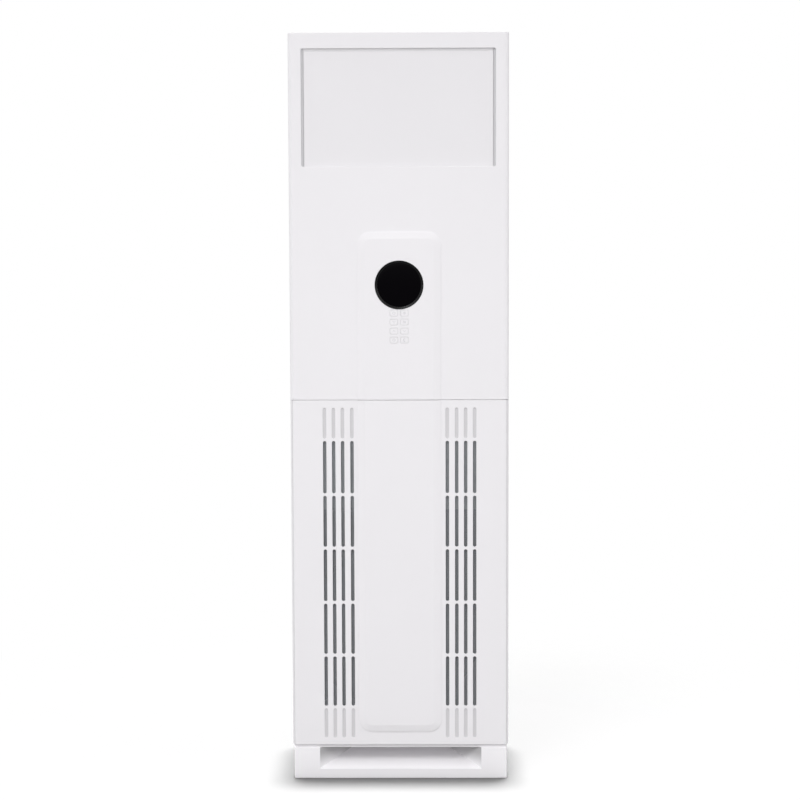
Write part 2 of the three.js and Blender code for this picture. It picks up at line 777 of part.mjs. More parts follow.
// Involute pinion, one tooth pointing to the rack
const pinionGeometry = () => {
  const baseRadius = pitchRadius * Math.cos(pressureAngle);
  const rootRadius = pitchRadius - dedendum;
  const tipRadius = pitchRadius + addendum;
  const roll = (radius) => {
    const angle = Math.acos(Math.min(1, baseRadius / radius));
    return Math.tan(angle) - angle;
  };
  const halfAtPitch = (toothPitch - backlash) / 4 / pitchRadius;
  const halfAt = (radius) => halfAtPitch + roll(pitchRadius) - roll(Math.max(radius, baseRadius));
  const radii = [rootRadius, baseRadius, pitchRadius, tipRadius];
  const points = [];
  for (let tooth = 0; tooth < pinionTeeth; tooth += 1) {
    const middle = Math.PI + tooth * 2 * Math.PI / pinionTeeth;
    const flankAt = (radius, side) => {
      const angle = middle + side * halfAt(radius);
      return [radius * Math.cos(angle), radius * Math.sin(angle)];
    };
    points.push(...radii.map((radius) => flankAt(radius, -1)));
    points.push(...radii.toReversed().map((radius) => flankAt(radius, 1)));
  }
  return cut(
    alongX(outline(points), -rackWidth / 2, rackWidth / 2),
    rodX(shaftRadius + fit, -rackWidth, rackWidth, 0, 0, 16),
  );
};
add('left_pinion', pinionGeometry(), finishes.whitePlastic, [-rackCentreX, shaftY, shaftZ]);
add('right_pinion', pinionGeometry(), finishes.whitePlastic, [rackCentreX, shaftY, shaftZ]);

// Outlet duct: open to the front, and open below behind the vanes
const louverSpots = Array.from({ length: louverCount }, (_, i) => louverFirstZ + i * louverPitch);
const vaneSpots = Array.from({ length: vaneCount }, (_, i) => (i - (vaneCount - 1) / 2) * vanePitch);
const ductOuterX = ductHalfWidth + ductWall;
const ductFloorZ = ductBottom - ductWall;
const ductRoofZ = ductTop + ductWall;
const vanePinRadius = pivotRadius - 0.5;
add('outlet_duct', cut(
  box(-ductOuterX, ductOuterX, ductFrontY, ductRearY + ductWall, ductFloorZ, ductRoofZ),
  box(-ductHalfWidth, ductHalfWidth, ductFrontY - past, ductRearY, ductBottom, ductTop),
  box(-ductHalfWidth, ductHalfWidth, ductInletY, ductRearY, ductFloorZ - past, ductBottom + past),
  apart(louverSpots.map((z) => rodX(pivotRadius + fit, -ductOuterX - past, ductOuterX + past, louverY, z, 12))),
  apart(vaneSpots.map((x) => rodZ(vanePinRadius + fit, ductFloorZ - past, ductRoofZ + past, x, vaneY, 10))),
), finishes.foamGrey);

// Horizontal louvers on one link
const louverGeometry = () => join(
  alongX(outline([
    [-louverChord / 2, louverEdge / 2],
    [-louverChord / 2, -louverEdge / 2],
    [-louverChord / 4, -louverThickness / 2],
    [louverChord / 4, -louverThickness / 2],
    [louverChord / 2, -louverEdge / 2],
    [louverChord / 2, louverEdge / 2],
    [louverChord / 4, louverThickness / 2],
    [-louverChord / 4, louverThickness / 2],
  ]), -louverHalfWidth, louverHalfWidth),
  rodX(pivotRadius, -ductOuterX - 2, ductOuterX + 2, 0, 0),
  rodX(linkPinRadius, louverHalfWidth - past, louverHalfWidth + 6, linkArm, 0, 8),
);
louverSpots.forEach((z, i) => add(`louver_${i + 1}`, louverGeometry(), finishes.whitePlastic, [0, louverY, z]));

const louverLinkX = louverHalfWidth + 2;
add('louver_link', cut(
  box(
    louverLinkX, louverLinkX + linkThickness,
    -linkHalfWidth, linkHalfWidth,
    -linkHalfWidth, (louverCount - 1) * louverPitch + linkHalfWidth,
  ),
  apart(louverSpots.map((_, i) => rodX(
    linkPinRadius + pinClearance,
    louverLinkX - past, louverLinkX + linkThickness + past,
    0, i * louverPitch, 8,
  ))),
), finishes.greyPlastic, [0, louverY + linkArm, louverFirstZ]);

const louverMotorX = -ductOuterX - fit;
add('louver_motor', cut(
  rodX(swingMotorRadius, louverMotorX - swingMotorLength, louverMotorX, louverY, louverSpots[1], 20),
  rodX(pivotRadius + fit, louverMotorX - swingMotorBore, louverMotorX + past, louverY, louverSpots[1]),
), finishes.galvanised);

// Upright vanes behind the louvers, on their own link
const vaneBottom = ductBottom + vaneGap;
const vaneTop = ductTop - vaneGap / 2;
const vaneLinkZ = ductBottom + 8;
const vaneGeometry = () => join(
  box(-vaneThickness / 2, vaneThickness / 2, -vaneChord / 2, vaneChord / 2, vaneBottom, vaneTop),
  rodZ(vanePinRadius, ductFloorZ - 1.5, ductRoofZ + 1.5, 0, 0, 10),
  rodZ(linkPinRadius - 0.4, vaneLinkZ - 2, vaneBottom + past, 0, vaneArm, 8),
);
vaneSpots.forEach((x, i) => add(`vane_${i + 1}`, vaneGeometry(), finishes.whitePlastic, [x, vaneY, 0]));

const vaneSpan = (vaneCount - 1) * vanePitch;
add('vane_link', cut(
  box(-linkHalfWidth, vaneSpan + linkHalfWidth, -linkHalfWidth, linkHalfWidth, vaneLinkZ, vaneLinkZ + linkThickness),
  apart(vaneSpots.map((_, i) => rodZ(
    linkPinRadius + fit,
    vaneLinkZ - past, vaneLinkZ + linkThickness + past,
    i * vanePitch, 0, 8,
  ))),
), finishes.greyPlastic, [vaneSpots[0], vaneY + vaneArm, 0]);

const vaneMotorTop = ductFloorZ - fit;
const vaneMotorX = vaneSpots[Math.floor(vaneCount / 2)];
add('vane_motor', cut(
  rodZ(swingMotorRadius, vaneMotorTop - swingMotorLength, vaneMotorTop, vaneMotorX, vaneY, 20),
  rodZ(vanePinRadius + fit, vaneMotorTop - swingMotorBore, vaneMotorTop + past, vaneMotorX, vaneY, 10),
), finishes.galvanised);

// Chamber round the evaporator: two side walls on the deck and a bent front cover
const deckTop = deckZ + deckThickness;
const chamberBottom = deckTop + fit;
const chamberTop = ductFloorZ - fit;
const chamberOuterX = chamberHalfWidth + sheet;
const chamberFront = (shift) => [
  [chamberFrontY + shift, chamberBottom],
  [chamberFrontY + shift, chamberKneeZ],
  [chamberNeckY + shift, chamberNeckZ],
  [chamberNeckY + shift, chamberTop],
];
const tubeSpots = Array.from({ length: tubePasses }, (_, i) => {
  const along = (i - (tubePasses - 1) / 2) * tubePitch;
  return { y: coilY - along * Math.sin(coilTilt), z: coilZ + along * Math.cos(coilTilt) };
});
const chamberWall = (x0) => cut(
  alongX(outline([...chamberFront(0), [chamberRearY, chamberTop], [chamberRearY, chamberBottom]]), x0, x0 + sheet),
  apart(tubeSpots.map(({ y, z }) => rodX(tubeRadius + fit, x0 - past, x0 + sheet + past, y, z, 10))),
);
add('left_chamber_wall', chamberWall(-chamberOuterX), finishes.galvanised);
add('right_chamber_wall', chamberWall(chamberHalfWidth), finishes.galvanised);
add('chamber_cover', alongX(outline([
  ...chamberFront(-coverGap),
  ...chamberFront(-coverGap - sheet).reverse(),
]), -chamberOuterX, chamberOuterX), finishes.galvanised);

// Evaporator: a tilted fin pack on one serpentine tube
const packHalfWidth = chamberHalfWidth - fit;
add('fin_pack', cut(
  box(
    -packHalfWidth, packHalfWidth,
    -coilThickness / 2, coilThickness / 2,
    -coilLength / 2, coilLength / 2,
  ).rotateX(coilTilt).translate(0, coilY, coilZ),
  apart(tubeSpots.map(({ y, z }) => rodX(tubeRadius + fit, -halfWidth, halfWidth, y, z, 10))),
), finishes.aluminium);

// A tube along straight runs whose corners are rounded by quarter bends
const bentTube = (corners, radius, bendRadius, sides) => {
  const spots = corners.map((corner) => new THREE.Vector3(...corner));
  const route = [spots[0]];
  spots.slice(1, -1).forEach((corner, i) => {
    const back = spots[i].clone().sub(corner).normalize().multiplyScalar(bendRadius);
    const ahead = spots[i + 2].clone().sub(corner).normalize().multiplyScalar(bendRadius);
    const bend = new THREE.QuadraticBezierCurve3(corner.clone().add(back), corner, corner.clone().add(ahead));
    route.push(...bend.getPoints(4));
  });
  route.push(spots.at(-1));
  return sweep(route, radius, sides);
};

// A round section carried along a list of points, mitred at each one
const sweep = (route, radius, sides) => {
  const steps = route.length;
  const tangents = route.map((spot, i) => route[Math.min(i + 1, steps - 1)].clone()
    .sub(route[Math.max(i - 1, 0)]).normalize());
  const positions = [];
  const indices = [];
  const across = new THREE.Vector3();
  route.forEach((spot, i) => {
    if (i === 0) across.set(0.31, 0.87, 0.38);
    across.addScaledVector(tangents[i], -across.dot(tangents[i])).normalize();
    const up = tangents[i].clone().cross(across);
    for (let k = 0; k < sides; k += 1) {
      const angle = k * 2 * Math.PI / sides;
      const rim = spot.clone().addScaledVector(across, radius * Math.cos(angle))
        .addScaledVector(up, radius * Math.sin(angle));
      positions.push(rim.x, rim.y, rim.z);
    }
  });
  for (let k = 1; k < sides - 1; k += 1) {
    const last = (steps - 1) * sides;
    indices.push(0, k + 1, k, last, last + k, last + k + 1);
  }
  for (let i = 0; i < steps - 1; i += 1) {
    for (let k = 0; k < sides; k += 1) {
      const a = i * sides + k;
      const b = i * sides + (k + 1) % sides;
      indices.push(a, b, a + sides, b, b + sides, a + sides);
    }
  }
  const geometry = new THREE.BufferGeometry();
  geometry.setAttribute('position', new THREE.Float32BufferAttribute(positions, 3));
  geometry.setIndex(indices);
  return geometry;
};

const bendSteps = 5;
const serpentine = () => {
  const route = [];
  tubeSpots.forEach(({ y, z }, i) => {
    const heading = i % 2 ? -1 : 1;
    if (i === 0) route.push(new THREE.Vector3(-tubeStraight - tubeStub, y, z));
    else route.push(new THREE.Vector3(-heading * tubeStraight, y, z));
    if (i === tubePasses - 1) {
      route.push(new THREE.Vector3(heading * (tubeStraight + tubeStub), y, z));
      return;
    }
    route.push(new THREE.Vector3(heading * tubeStraight, y, z));
    for (let step = 1; step < bendSteps; step += 1) {
      const angle = step * Math.PI / bendSteps;
      const along = tubePitch / 2 * (1 - Math.cos(angle));
      route.push(new THREE.Vector3(
        heading * (tubeStraight + tubePitch / 2 * Math.sin(angle)),
        y - along * Math.sin(coilTilt),
        z + along * Math.cos(coilTilt),
      ));
    }
  });
  return sweep(route, tubeRadius, 8);
};
add('coil_tubes', serpentine(), finishes.copper);

// Drain pan under the low end of the coil, and its hose down to the pipe hole
const panHalfWidth = chamberHalfWidth - fit;
const spoutRadius = hoseRadius - hoseWall;
add('drain_pan', cut(
  join(
    box(-panHalfWidth, panHalfWidth, panFrontY, panRearY, panBottom, panBottom + panDepth),
    rodZ(spoutRadius, panBottom - panSpout, panBottom + past, hoseX, hoseY, 12),
  ),
  box(
    -panHalfWidth + panWall, panHalfWidth - panWall,
    panFrontY + panWall, panRearY - panWall,
    panBottom + panWall, panBottom + panDepth + past,
  ),
  rodZ(spoutRadius - spoutWall, panBottom - panSpout - past, panBottom + panDepth, hoseX, hoseY, 12),
), finishes.foamGrey);

const hoseTop = panBottom - fit;
const hoseRoute = bentTube([
  [hoseX, hoseY, hoseTop],
  [hoseX, hoseY, pipeHoleZ - hoseDrop],
  [hoseX, pipeEndY, pipeHoleZ - hoseDrop],
], hoseRadius, hoseBend, 12);
add('drain_hose', cut(
  hoseRoute,
  rodZ(spoutRadius + fit, hoseTop - panSpout - past, hoseTop + past, hoseX, hoseY, 12),
), finishes.greyPlastic);

const liquidStart = tubeSpots[0];
const gasStart = tubeSpots[tubePasses - 1];
const tubeEndX = -tubeStraight - tubeStub - fit;
add('gas_pipe', bentTube([
  [tubeEndX, gasStart.y, gasStart.z],
  [pipeRunX, gasStart.y, gasStart.z],
  [pipeRunX, gasStart.y, gasStart.z - pipeElbow],
  [pipeRunX, gasDropY, gasDropTop],
  [pipeRunX, gasDropY, pipeHoleZ + 8],
  [pipeHoleX - 21, pipeEndY, pipeHoleZ + 8],
], gasPipeRadius, gasPipeBend, 10), finishes.copper);
add('liquid_pipe', bentTube([
  [tubeEndX, liquidStart.y, liquidStart.z],
  [pipeRunX, liquidStart.y, liquidStart.z],
  [pipeRunX, liquidDropY, liquidStart.z - pipeElbow],
  [pipeRunX, liquidDropY, pipeHoleZ + pipeElbow],
  [pipeHoleX - 1, liquidDropY, pipeHoleZ + 14],
  [pipeHoleX - 1, pipeEndY, pipeHoleZ + 14],
], liquidPipeRadius, liquidPipeBend, 10), finishes.copper);

// Deck between the blower and the chamber, with the scroll's mouth and the hose passing through
const mouthLeftX = scrollMouthX + scrollWall;
const mouthRightX = blowerX + scrollMaxRadius - scrollWall;
add('deck', cut(
  box(-deckHalfWidth, deckHalfWidth, deckFrontY, sideRearY - sheet - past, deckZ, deckTop),
  box(
    mouthLeftX, mouthRightX,
    scrollFrontY + scrollWall, scrollRearY - scrollWall,
    deckZ - past, deckTop + past,
  ),
  rodZ(hoseRadius + fit, deckZ - past, deckTop + past, hoseX, hoseY, 12),
), finishes.galvanised);

// Blower scroll on two pairs of legs
const scrollSteps = 28;
const scrollOutline = (inset, topZ) => {
  const turn = 2 * Math.PI - scrollTongueAngle;
  const points = [];
  for (let i = 0; i <= scrollSteps; i += 1) {
    const share = i / scrollSteps;
    const radius = scrollMinRadius + (scrollMaxRadius - scrollMinRadius) * share - inset;
    const angle = scrollTongueAngle + turn * share;
    points.push([blowerX + radius * Math.cos(angle), blowerZ + radius * Math.sin(angle)]);
  }
  points.push([blowerX + scrollMaxRadius - inset, topZ], [scrollMouthX + inset, topZ]);
  return outline(points);
};
const scrollTop = deckZ - fit;
const legBottom = baseTop + fit;
const legTop = blowerZ - legReach;
const footTop = legBottom + footThickness;
const legs = [legLeftX, legRightX].flatMap((x) => [
  box(x - legWidth / 2, x + legWidth / 2, scrollFrontY, scrollFrontY + scrollWall, legBottom, legTop),
  box(x - legWidth / 2, x + legWidth / 2, scrollRearY - scrollWall, scrollRearY, legBottom, legTop),
  box(x - legWidth / 2, x + legWidth / 2, scrollFrontY, scrollFrontY + footDepth, legBottom, footTop),
  box(x - legWidth / 2, x + legWidth / 2, scrollRearY - footDepth, scrollRearY, legBottom, footTop),
]);
add('scroll_casing', cut(
  join(
    alongY(scrollOutline(0, scrollTop), scrollFrontY, scrollRearY),
    rodY(inletRadius + scrollWall, scrollFrontY - collarDepth, scrollFrontY + past, blowerX, blowerZ, 32),
    ...legs,
  ),
  alongY(scrollOutline(scrollWall, deckZ + past), scrollFrontY + scrollWall, scrollRearY - scrollWall),
  rodY(inletRadius, scrollFrontY - collarDepth - past, scrollFrontY + scrollWall + past, blowerX, blowerZ, 32),
  rodY(hubRadius + hubClearance, scrollRearY - scrollWall - past, scrollRearY + past, blowerX, blowerZ, 20),
), finishes.greyPlastic);

// Centrifugal wheel on the motor's shaft
const bladeLength = wheelRadius - bladeInnerRadius;
const blade = (angle) => new THREE.BoxGeometry(bladeLength, wheelRearY - wheelFrontY - wheelDisc - 1, bladeThickness)
  .rotateY(bladeLean)
  .translate((wheelRadius + bladeInnerRadius) / 2 - 1, (wheelFrontY + wheelRearY - wheelDisc) / 2 + 0.5, 0)
  .rotateY(angle);
const wheelFrontRing = cut(
  rodY(wheelRadius, wheelFrontY, wheelFrontY + wheelRing, 0, 0, 32),
  rodY(bladeInnerRadius, wheelFrontY - past, wheelFrontY + wheelRing + past, 0, 0, 32),
);
add('blower_wheel', cut(
  join(
    rodY(wheelRadius, wheelRearY - wheelDisc, wheelRearY, 0, 0, 32),
    rodY(hubRadius, wheelRearY - hubFront, wheelRearY + hubRear, 0, 0, 20),
    wheelFrontRing,
    apart(Array.from({ length: bladeCount }, (_, i) => blade(i * 2 * Math.PI / bladeCount))),
  ),
  rodY(blowerShaftRadius + fit, wheelRearY - hubFront - past, wheelRearY + hubRear + past, 0, 0, 16),
), finishes.greyPlastic, [blowerX, 0, blowerZ]);
add('blower_shaft', rodY(blowerShaftRadius, shaftFrontY, shaftRearY, 0, 0, 16), finishes.galvanised, [blowerX, 0, blowerZ]);

const motorFrontY = scrollRearY + fit;
add('blower_motor', cut(
  join(
    rodY(motorFlangeRadius, motorFrontY, motorFrontY + motorFlange, blowerX, blowerZ, 32),
    rodY(motorRadius, motorFrontY + past, motorRearY, blowerX, blowerZ, 32),
  ),
  rodY(blowerShaftRadius + fit, motorFrontY - past, shaftRearY + fit, blowerX, blowerZ, 16),
), finishes.galvanised);

// Control box on the deck, with its cover and circuit board
const boxBottom = deckTop + fit;
const boxTop = boxBottom + boxHeight;
add('control_box', cut(
  box(boxLeftX, boxRightX, boxFrontY, boxRearY, boxBottom, boxTop),
  box(
    boxLeftX + boxWall, boxRightX - boxWall,
    boxFrontY - past, boxRearY - boxWall,
    boxBottom + boxWall, boxTop - boxWall,
  ),
), finishes.galvanised);
add('control_box_cover', box(
  boxLeftX, boxRightX,
  boxFrontY - fit - sheet, boxFrontY - fit,
  boxBottom, boxTop,
), finishes.galvanised);
const circuitBackY = boxRearY - boxWall - fit;
const circuitFrontY = circuitBackY - boardThickness;
add('control_board', join(
  box(
    boxLeftX + boxWall + fit, boxRightX - boxWall - fit,
    circuitFrontY, circuitBackY,
    boxBottom + boxWall + fit, boxTop - boxWall - fit,
  ),
  ...circuitBlocks.map(([x0, x1, z0, z1, rise]) => box(
    boxLeftX + x0, boxLeftX + x1,
    circuitFrontY - rise, circuitFrontY + blockSunk,
    boxBottom + z0, boxBottom + z1,
  )),
  rodY(
    capacitorRadius,
    circuitFrontY - capacitorHeight, circuitFrontY + blockSunk,
    boxLeftX + capacitorX, boxBottom + capacitorZ,
    12,
  ),
), finishes.circuitGreen);

// Display: a shallow cup in the upper panel with a round window set in it
const windowFrontY = frontY + windowRecess;
const windowBackY = windowFrontY + windowThickness;
const ledgeY = windowBackY + fit;
const lathe = (profile, steps) => new THREE.LatheGeometry(profile.map(([r, y]) => new THREE.Vector2(r, y)), steps);
const bezelInner = displayRadius - bezelWall;
add('display_bezel', lathe([
  [0, bezelBackY - bezelFloor],
  [bezelInner - bezelLedge, bezelBackY - bezelFloor],
  [bezelInner - bezelLedge, ledgeY],
  [bezelInner, ledgeY],
  [bezelInner, frontY],
  [displayRadius, frontY],
  [displayRadius, bezelBackY],
  [0, bezelBackY],
], 36), finishes.blackPlastic, [0, 0, displayZ]);
add('display_window', rodY(bezelInner - fit, windowFrontY, windowBackY, 0, 0, 36), finishes.glossBlack, [0, 0, displayZ]);

// Keys and the circuit board with their switches
add('key_board', join(
  box(-boardHalfWidth, boardHalfWidth, boardFrontY, boardFrontY + boardThickness, boardBottom, boardTop),
  apart(keySpots.map(({ x, z }) => box(
    x - switchSize / 2, x + switchSize / 2,
    boardFrontY - switchHeight, boardFrontY + blockSunk,
    z - switchSize / 2, z + switchSize / 2,
  ))),
), finishes.circuitGreen);
const keyGeometry = () => join(
  alongY(keyShape(0, 0, 0), frontY, panelBackY + fit + 0.5),
  alongY(keyShape(0, 0, keyFlange), panelBackY + fit, flangeBackY),
  rodY(keyNubRadius, flangeBackY - 0.5, nubTipY, 0, 0, 8),
);
keySpots.forEach(({ x, z }, i) => add(`key_${i + 1}`, keyGeometry(), finishes.whitePlastic, [x, 0, z]));

export default unit;
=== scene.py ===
import math

import bmesh
import bpy
from mathutils import Matrix, Vector


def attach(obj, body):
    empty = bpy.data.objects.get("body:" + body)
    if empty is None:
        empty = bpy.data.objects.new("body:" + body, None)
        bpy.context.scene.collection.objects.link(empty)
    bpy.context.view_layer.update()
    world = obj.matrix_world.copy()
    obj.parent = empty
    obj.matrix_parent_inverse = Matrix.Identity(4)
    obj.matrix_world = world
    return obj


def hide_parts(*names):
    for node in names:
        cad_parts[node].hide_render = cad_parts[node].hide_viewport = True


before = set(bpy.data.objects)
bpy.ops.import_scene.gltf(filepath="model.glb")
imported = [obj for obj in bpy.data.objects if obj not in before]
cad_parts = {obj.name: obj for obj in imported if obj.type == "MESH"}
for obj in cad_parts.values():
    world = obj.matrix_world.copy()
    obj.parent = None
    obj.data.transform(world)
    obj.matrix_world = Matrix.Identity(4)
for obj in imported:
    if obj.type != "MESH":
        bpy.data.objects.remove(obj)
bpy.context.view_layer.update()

mm = 0.001
scene = bpy.context.scene
print("frame loaded:", len(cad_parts), "nodes")

camera = {  # the photograph's view
    "place": (0.0603, -5.1575, 1.3850),
    "yaw": -0.676,  # degrees, to the left is negative
    "pitch": 5.517,  # degrees, down
    "roll": -0.2,
    "lens": 96.912,
}

studio = {
    "worldLevel": 0.55,  # light from all round
    "floorSize": 40,
    "sunDistance": 4,
    "floorColour": (0.163, 0.163, 0.163),  # white under the floor's own sun
    "floorBounce": (0.077, 0.077, 0.077),  # what the floor sends back up
    "floorLift": 0.02,  # near the object, seen by the camera only
    "floorFade": (0.7, 1.7),  # between these distances the floor turns plain white
    "suns": {  # degrees round from the front, degrees up, degrees across, strength
        "highSun": (-25, 50, 22, 1.15),
        "frontSun": (-5, 15, 30, 0.28),
        "rightSun": (72, 25, 50, 0.75),
        "leftSun": (-75, 25, 50, 0.48),
        "floorSun": (176, 87.7, 4, 16.0),
    },
    "lamps": {  # place, aim, width, height, watts
        "frontLamp": ((-0.1, -1.7, 1.05), (0.0, 0.0, 1.05), 1.0, 0.8, 2.1),
    },
}


def rgb(red, green, blue):  # screen values, 0 to 255, as a linear colour
    def linear(value):
        share = value / 255
        return share / 12.92 if share <= 0.04045 else ((share + 0.055) / 1.055) ** 2.4
    return (linear(red), linear(green), linear(blue), 1.0)


def aimCamera():
    yaw, pitch, roll = (math.radians(camera[key]) for key in ("yaw", "pitch", "roll"))
    forward = Vector((
        math.sin(yaw) * math.cos(pitch), math.cos(yaw) * math.cos(pitch), -math.sin(pitch),
    ))
    levelRight = Vector((math.cos(yaw), -math.sin(yaw), 0))
    levelUp = levelRight.cross(forward)
    right = levelRight * math.cos(roll) + levelUp * math.sin(roll)
    up = levelUp * math.cos(roll) - levelRight * math.sin(roll)
    data = bpy.data.cameras.new("photoCamera")
    data.lens = camera["lens"]
    data.sensor_width = 36
    data.clip_end = 200
    eye = bpy.data.objects.new("photoCamera", data)
    scene.collection.objects.link(eye)
    turn = Matrix((right, up, -forward)).transposed()
    eye.matrix_world = Matrix.Translation(camera["place"]) @ turn.to_4x4()
    scene.camera = eye


# measures shared by several pieces, in millimetres
front = {
    "halfWidth": 255, "face": -154.0, "bandFace": -157.5, "wall": 3, "corner": 10, "wrapRear": -130,
    "bottom": 81.0, "seamLow": 901.3, "seamHigh": 902.3, "top": 1750,
    "endRadius": 0.8, "seamRadius": 0.6,
}
plinth = {
    "halfWidth": 252, "front": -154, "rear": 150, "height": 74, "wall": 3, "corner": 4,
    "lip": 23, "scoopHalf": 192, "scoopBackHalf": 92, "scoopDepth": 75,
}


class Wire:  # a socket that takes part in sums
    def __init__(self, paint, socket):
        self.paint = paint
        self.socket = socket

    def __add__(self, other):
        return self.paint.sum("ADD", self, other)

    def __radd__(self, other):
        return self.paint.sum("ADD", other, self)

    def __sub__(self, other):
        return self.paint.sum("SUBTRACT", self, other)

    def __rsub__(self, other):
        return self.paint.sum("SUBTRACT", other, self)

    def __mul__(self, other):
        return self.paint.sum("MULTIPLY", self, other)

    def __rmul__(self, other):
        return self.paint.sum("MULTIPLY", other, self)

    def __lt__(self, other):
        return self.paint.sum("LESS_THAN", self, other)

    def __gt__(self, other):
        return self.paint.sum("GREATER_THAN", self, other)


class Paint:  # the nodes of one material, or of the world
    def __init__(self, name, library="materials"):
        self.owner = getattr(bpy.data, library).new(name)
        self.owner.use_nodes = True
        self.tree = self.owner.node_tree
        self.tree.nodes.clear()
        self.spot = self.node("TexCoord", output="Object")

    def node(self, kind, settings=None, inputs=None, output=0):
        made = self.tree.nodes.new("ShaderNode" + kind)
        for key, value in (settings or {}).items():
            if key == "stops":
                ramp = made.color_ramp
                while len(ramp.elements) < len(value):
                    ramp.elements.new(0.5)
                for element, (place, level) in zip(ramp.elements, value):
                    element.position = place
                    element.color = (level, level, level, 1)
            else:
                setattr(made, key, value)
        for key, value in (inputs or {}).items():
            if isinstance(value, Wire):
                self.tree.links.new(value.socket, made.inputs[key])
            else:
                made.inputs[key].default_value = value
        return Wire(self, made.outputs[output])

    def sum(self, operation, *values):
        return self.node("Math", {"operation": operation}, dict(enumerate(values)))

    def axis(self, name):
        return self.node("SeparateXYZ", None, {0: self.spot}, "XYZ".index(name))

    def noise(self, scale, detail=2.0, stretch=None):
        spot = self.spot
        if stretch:
            spot = self.node("VectorMath", {"operation": "MULTIPLY"}, {0: spot, 1: stretch})
        return self.node("TexNoise", None, {"Vector": spot, "Scale": scale, "Detail": detail})

    def between(self, wire, low, high):  # 0 to 1 spread over low to high
        return self.node("MapRange", None, {"Value": wire, "To Min": low, "To Max": high})

    def blend(self, factor, first, second):
        return self.node(
            "Mix", {"data_type": "RGBA"},
            {"Factor": factor, 6: first, 7: second}, 2,
        )

    def bump(self, height, strength, distance=0.0002):
        return self.node("Bump", None, {"Height": height, "Strength": strength, "Distance": distance})

    def surface(self, **sockets):
        names = {"base": "Base Color", "roughness": "Roughness", "metallic": "Metallic",
                 "normal": "Normal", "specular": "Specular IOR Level"}
        shader = self.node("BsdfPrincipled", None, {names[key]: value for key, value in sockets.items()})
        return self.close(shader)

    def close(self, shader, kind="Material"):
        made = self.tree.nodes.new("ShaderNodeOutput" + kind)
        self.tree.links.new(shader.socket, made.inputs["Surface"])
        return self.owner


def shaded(colour, share):
    return tuple(value * share for value in colour[:3]) + (1.0,)


def mouldedPlastic(name, colour, roughness=0.42, grain=0.05, mottle=0.02, specular=0.4):
    paint = Paint(name)
    patches = paint.noise(5, 3)
    fine = paint.noise(1400, 2)
    cloudy = paint.noise(45, 2)
    return paint.surface(
        base=paint.blend(patches, shaded(colour, 1 - mottle), colour),
        roughness=paint.between(cloudy, roughness - 0.05, roughness + 0.07),
        specular=specular,
        normal=paint.bump(fine, grain),
    )


def groovedPlastic(name, colour, paintedFloorShade):  # the floors of the blind grooves have a rougher grain, and their colour is darkened as painted shade
    paint = Paint(name)
    depth = paint.axis("Y") - front["face"] * mm
    floor = (depth > 0.0012) * (depth < front["wall"] * mm - 0.0002)
    patches = paint.noise(5, 3)
    fine = paint.noise(1400, 2)
    coarse = paint.noise(900, 2)
    cloudy = paint.noise(45, 2)
    smooth = paint.blend(patches, shaded(colour, 0.98), colour)
    # painted shade: the groove floors' colour is a darker share of the white, with coarse tone variation
    floorShadeColour = paint.blend(coarse, shaded(colour, paintedFloorShade * 0.94), shaded(colour, paintedFloorShade * 1.06))
    return paint.surface(
        base=paint.blend(floor, smooth, floorShadeColour),
        roughness=paint.between(cloudy, 0.37, 0.49) + floor * 0.2,
        specular=0.4,
        normal=paint.bump(fine + coarse * floor, 0.05),
    )


def scoopedPlastic(name, colour, shade):  # painted shade: the scoop's colour darkens as it climbs back under the cabinet, most on the cheeks
    paint = Paint(name)
    low, high = plinth["lip"] * mm, plinth["height"] * mm
    climb = paint.node("MapRange", {"interpolation_type": "SMOOTHSTEP"},
                       {"Value": paint.axis("Z"), "From Min": low, "From Max": high - 0.008})
    depth = paint.axis("Y") - plinth["front"] * mm
    across = paint.sum("ABSOLUTE", paint.axis("X"))
    inside = (depth > 0.0006) * (depth < (plinth["scoopDepth"] + 1) * mm) \
        * (across < (plinth["scoopHalf"] + 0.5) * mm)
    facing = paint.node("NewGeometry", output="Normal")
    cheek = paint.sum("ABSOLUTE", paint.node("SeparateXYZ", None, {0: facing}, 0)) > 0.35
    patches = paint.noise(5, 3)
    fine = paint.noise(1400, 2)
    cloudy = paint.noise(45, 2)
    # painted shade: on the cheeks it deepens towards the top, on the slope it is deepest half way up
    slope = (climb + 0.18) * (1.2 - climb) * (1.0 - cheek)
    paintedShade = inside * (climb * cheek + slope) * paint.between(cloudy, 0.9, 1.0)
    return paint.surface(
        base=paint.blend(paintedShade, paint.blend(patches, shaded(colour, 0.98), colour), shaded(colour, shade)),
        roughness=paint.between(cloudy, 0.37, 0.49),
        specular=0.4,
        normal=paint.bump(fine, 0.05),
    )


def powderCoat(name, colour):
    paint = Paint(name)
    peel = paint.noise(420, 3)
    patches = paint.noise(4, 3)
    cloudy = paint.noise(30, 2)
    return paint.surface(
        base=paint.blend(patches, shaded(colour, 0.98), colour),
        roughness=paint.between(cloudy, 0.4, 0.52),
        specular=0.4,
        normal=paint.bump(peel, 0.09, 0.0003),
    )


def zincSheet(name, colour):
    paint = Paint(name)
    spangle = paint.node(
        "TexVoronoi", {"feature": "F1"}, {"Vector": paint.spot, "Scale": 75, "Randomness": 1.0}, "Color",
    )
    level = paint.node("RGBToBW", None, {0: spangle})
    streaks = paint.noise(60, 3, (1.0, 1.0, 0.15))
    return paint.surface(
        base=paint.blend(level, shaded(colour, 0.78), shaded(colour, 1.05)),
        metallic=0.9,
        roughness=paint.between(level, 0.36, 0.52),
        normal=paint.bump(streaks, 0.05, 0.0003),
    )


def drawnMetal(name, colour, stain, roughness):
    paint = Paint(name)
    patches = paint.noise(28, 4)
    lines = paint.noise(500, 2, (0.1, 1.0, 1.0))
    tarnish = paint.node("ValToRGB", {"stops": [(0.48, 0.0), (0.68, 1.0)]}, {0: patches})
    return paint.surface(
        base=paint.blend(tarnish, colour, stain),
        metallic=0.95,
        roughness=paint.between(patches, roughness, roughness + 0.18),
        normal=paint.bump(lines, 0.06, 0.0002),
    )


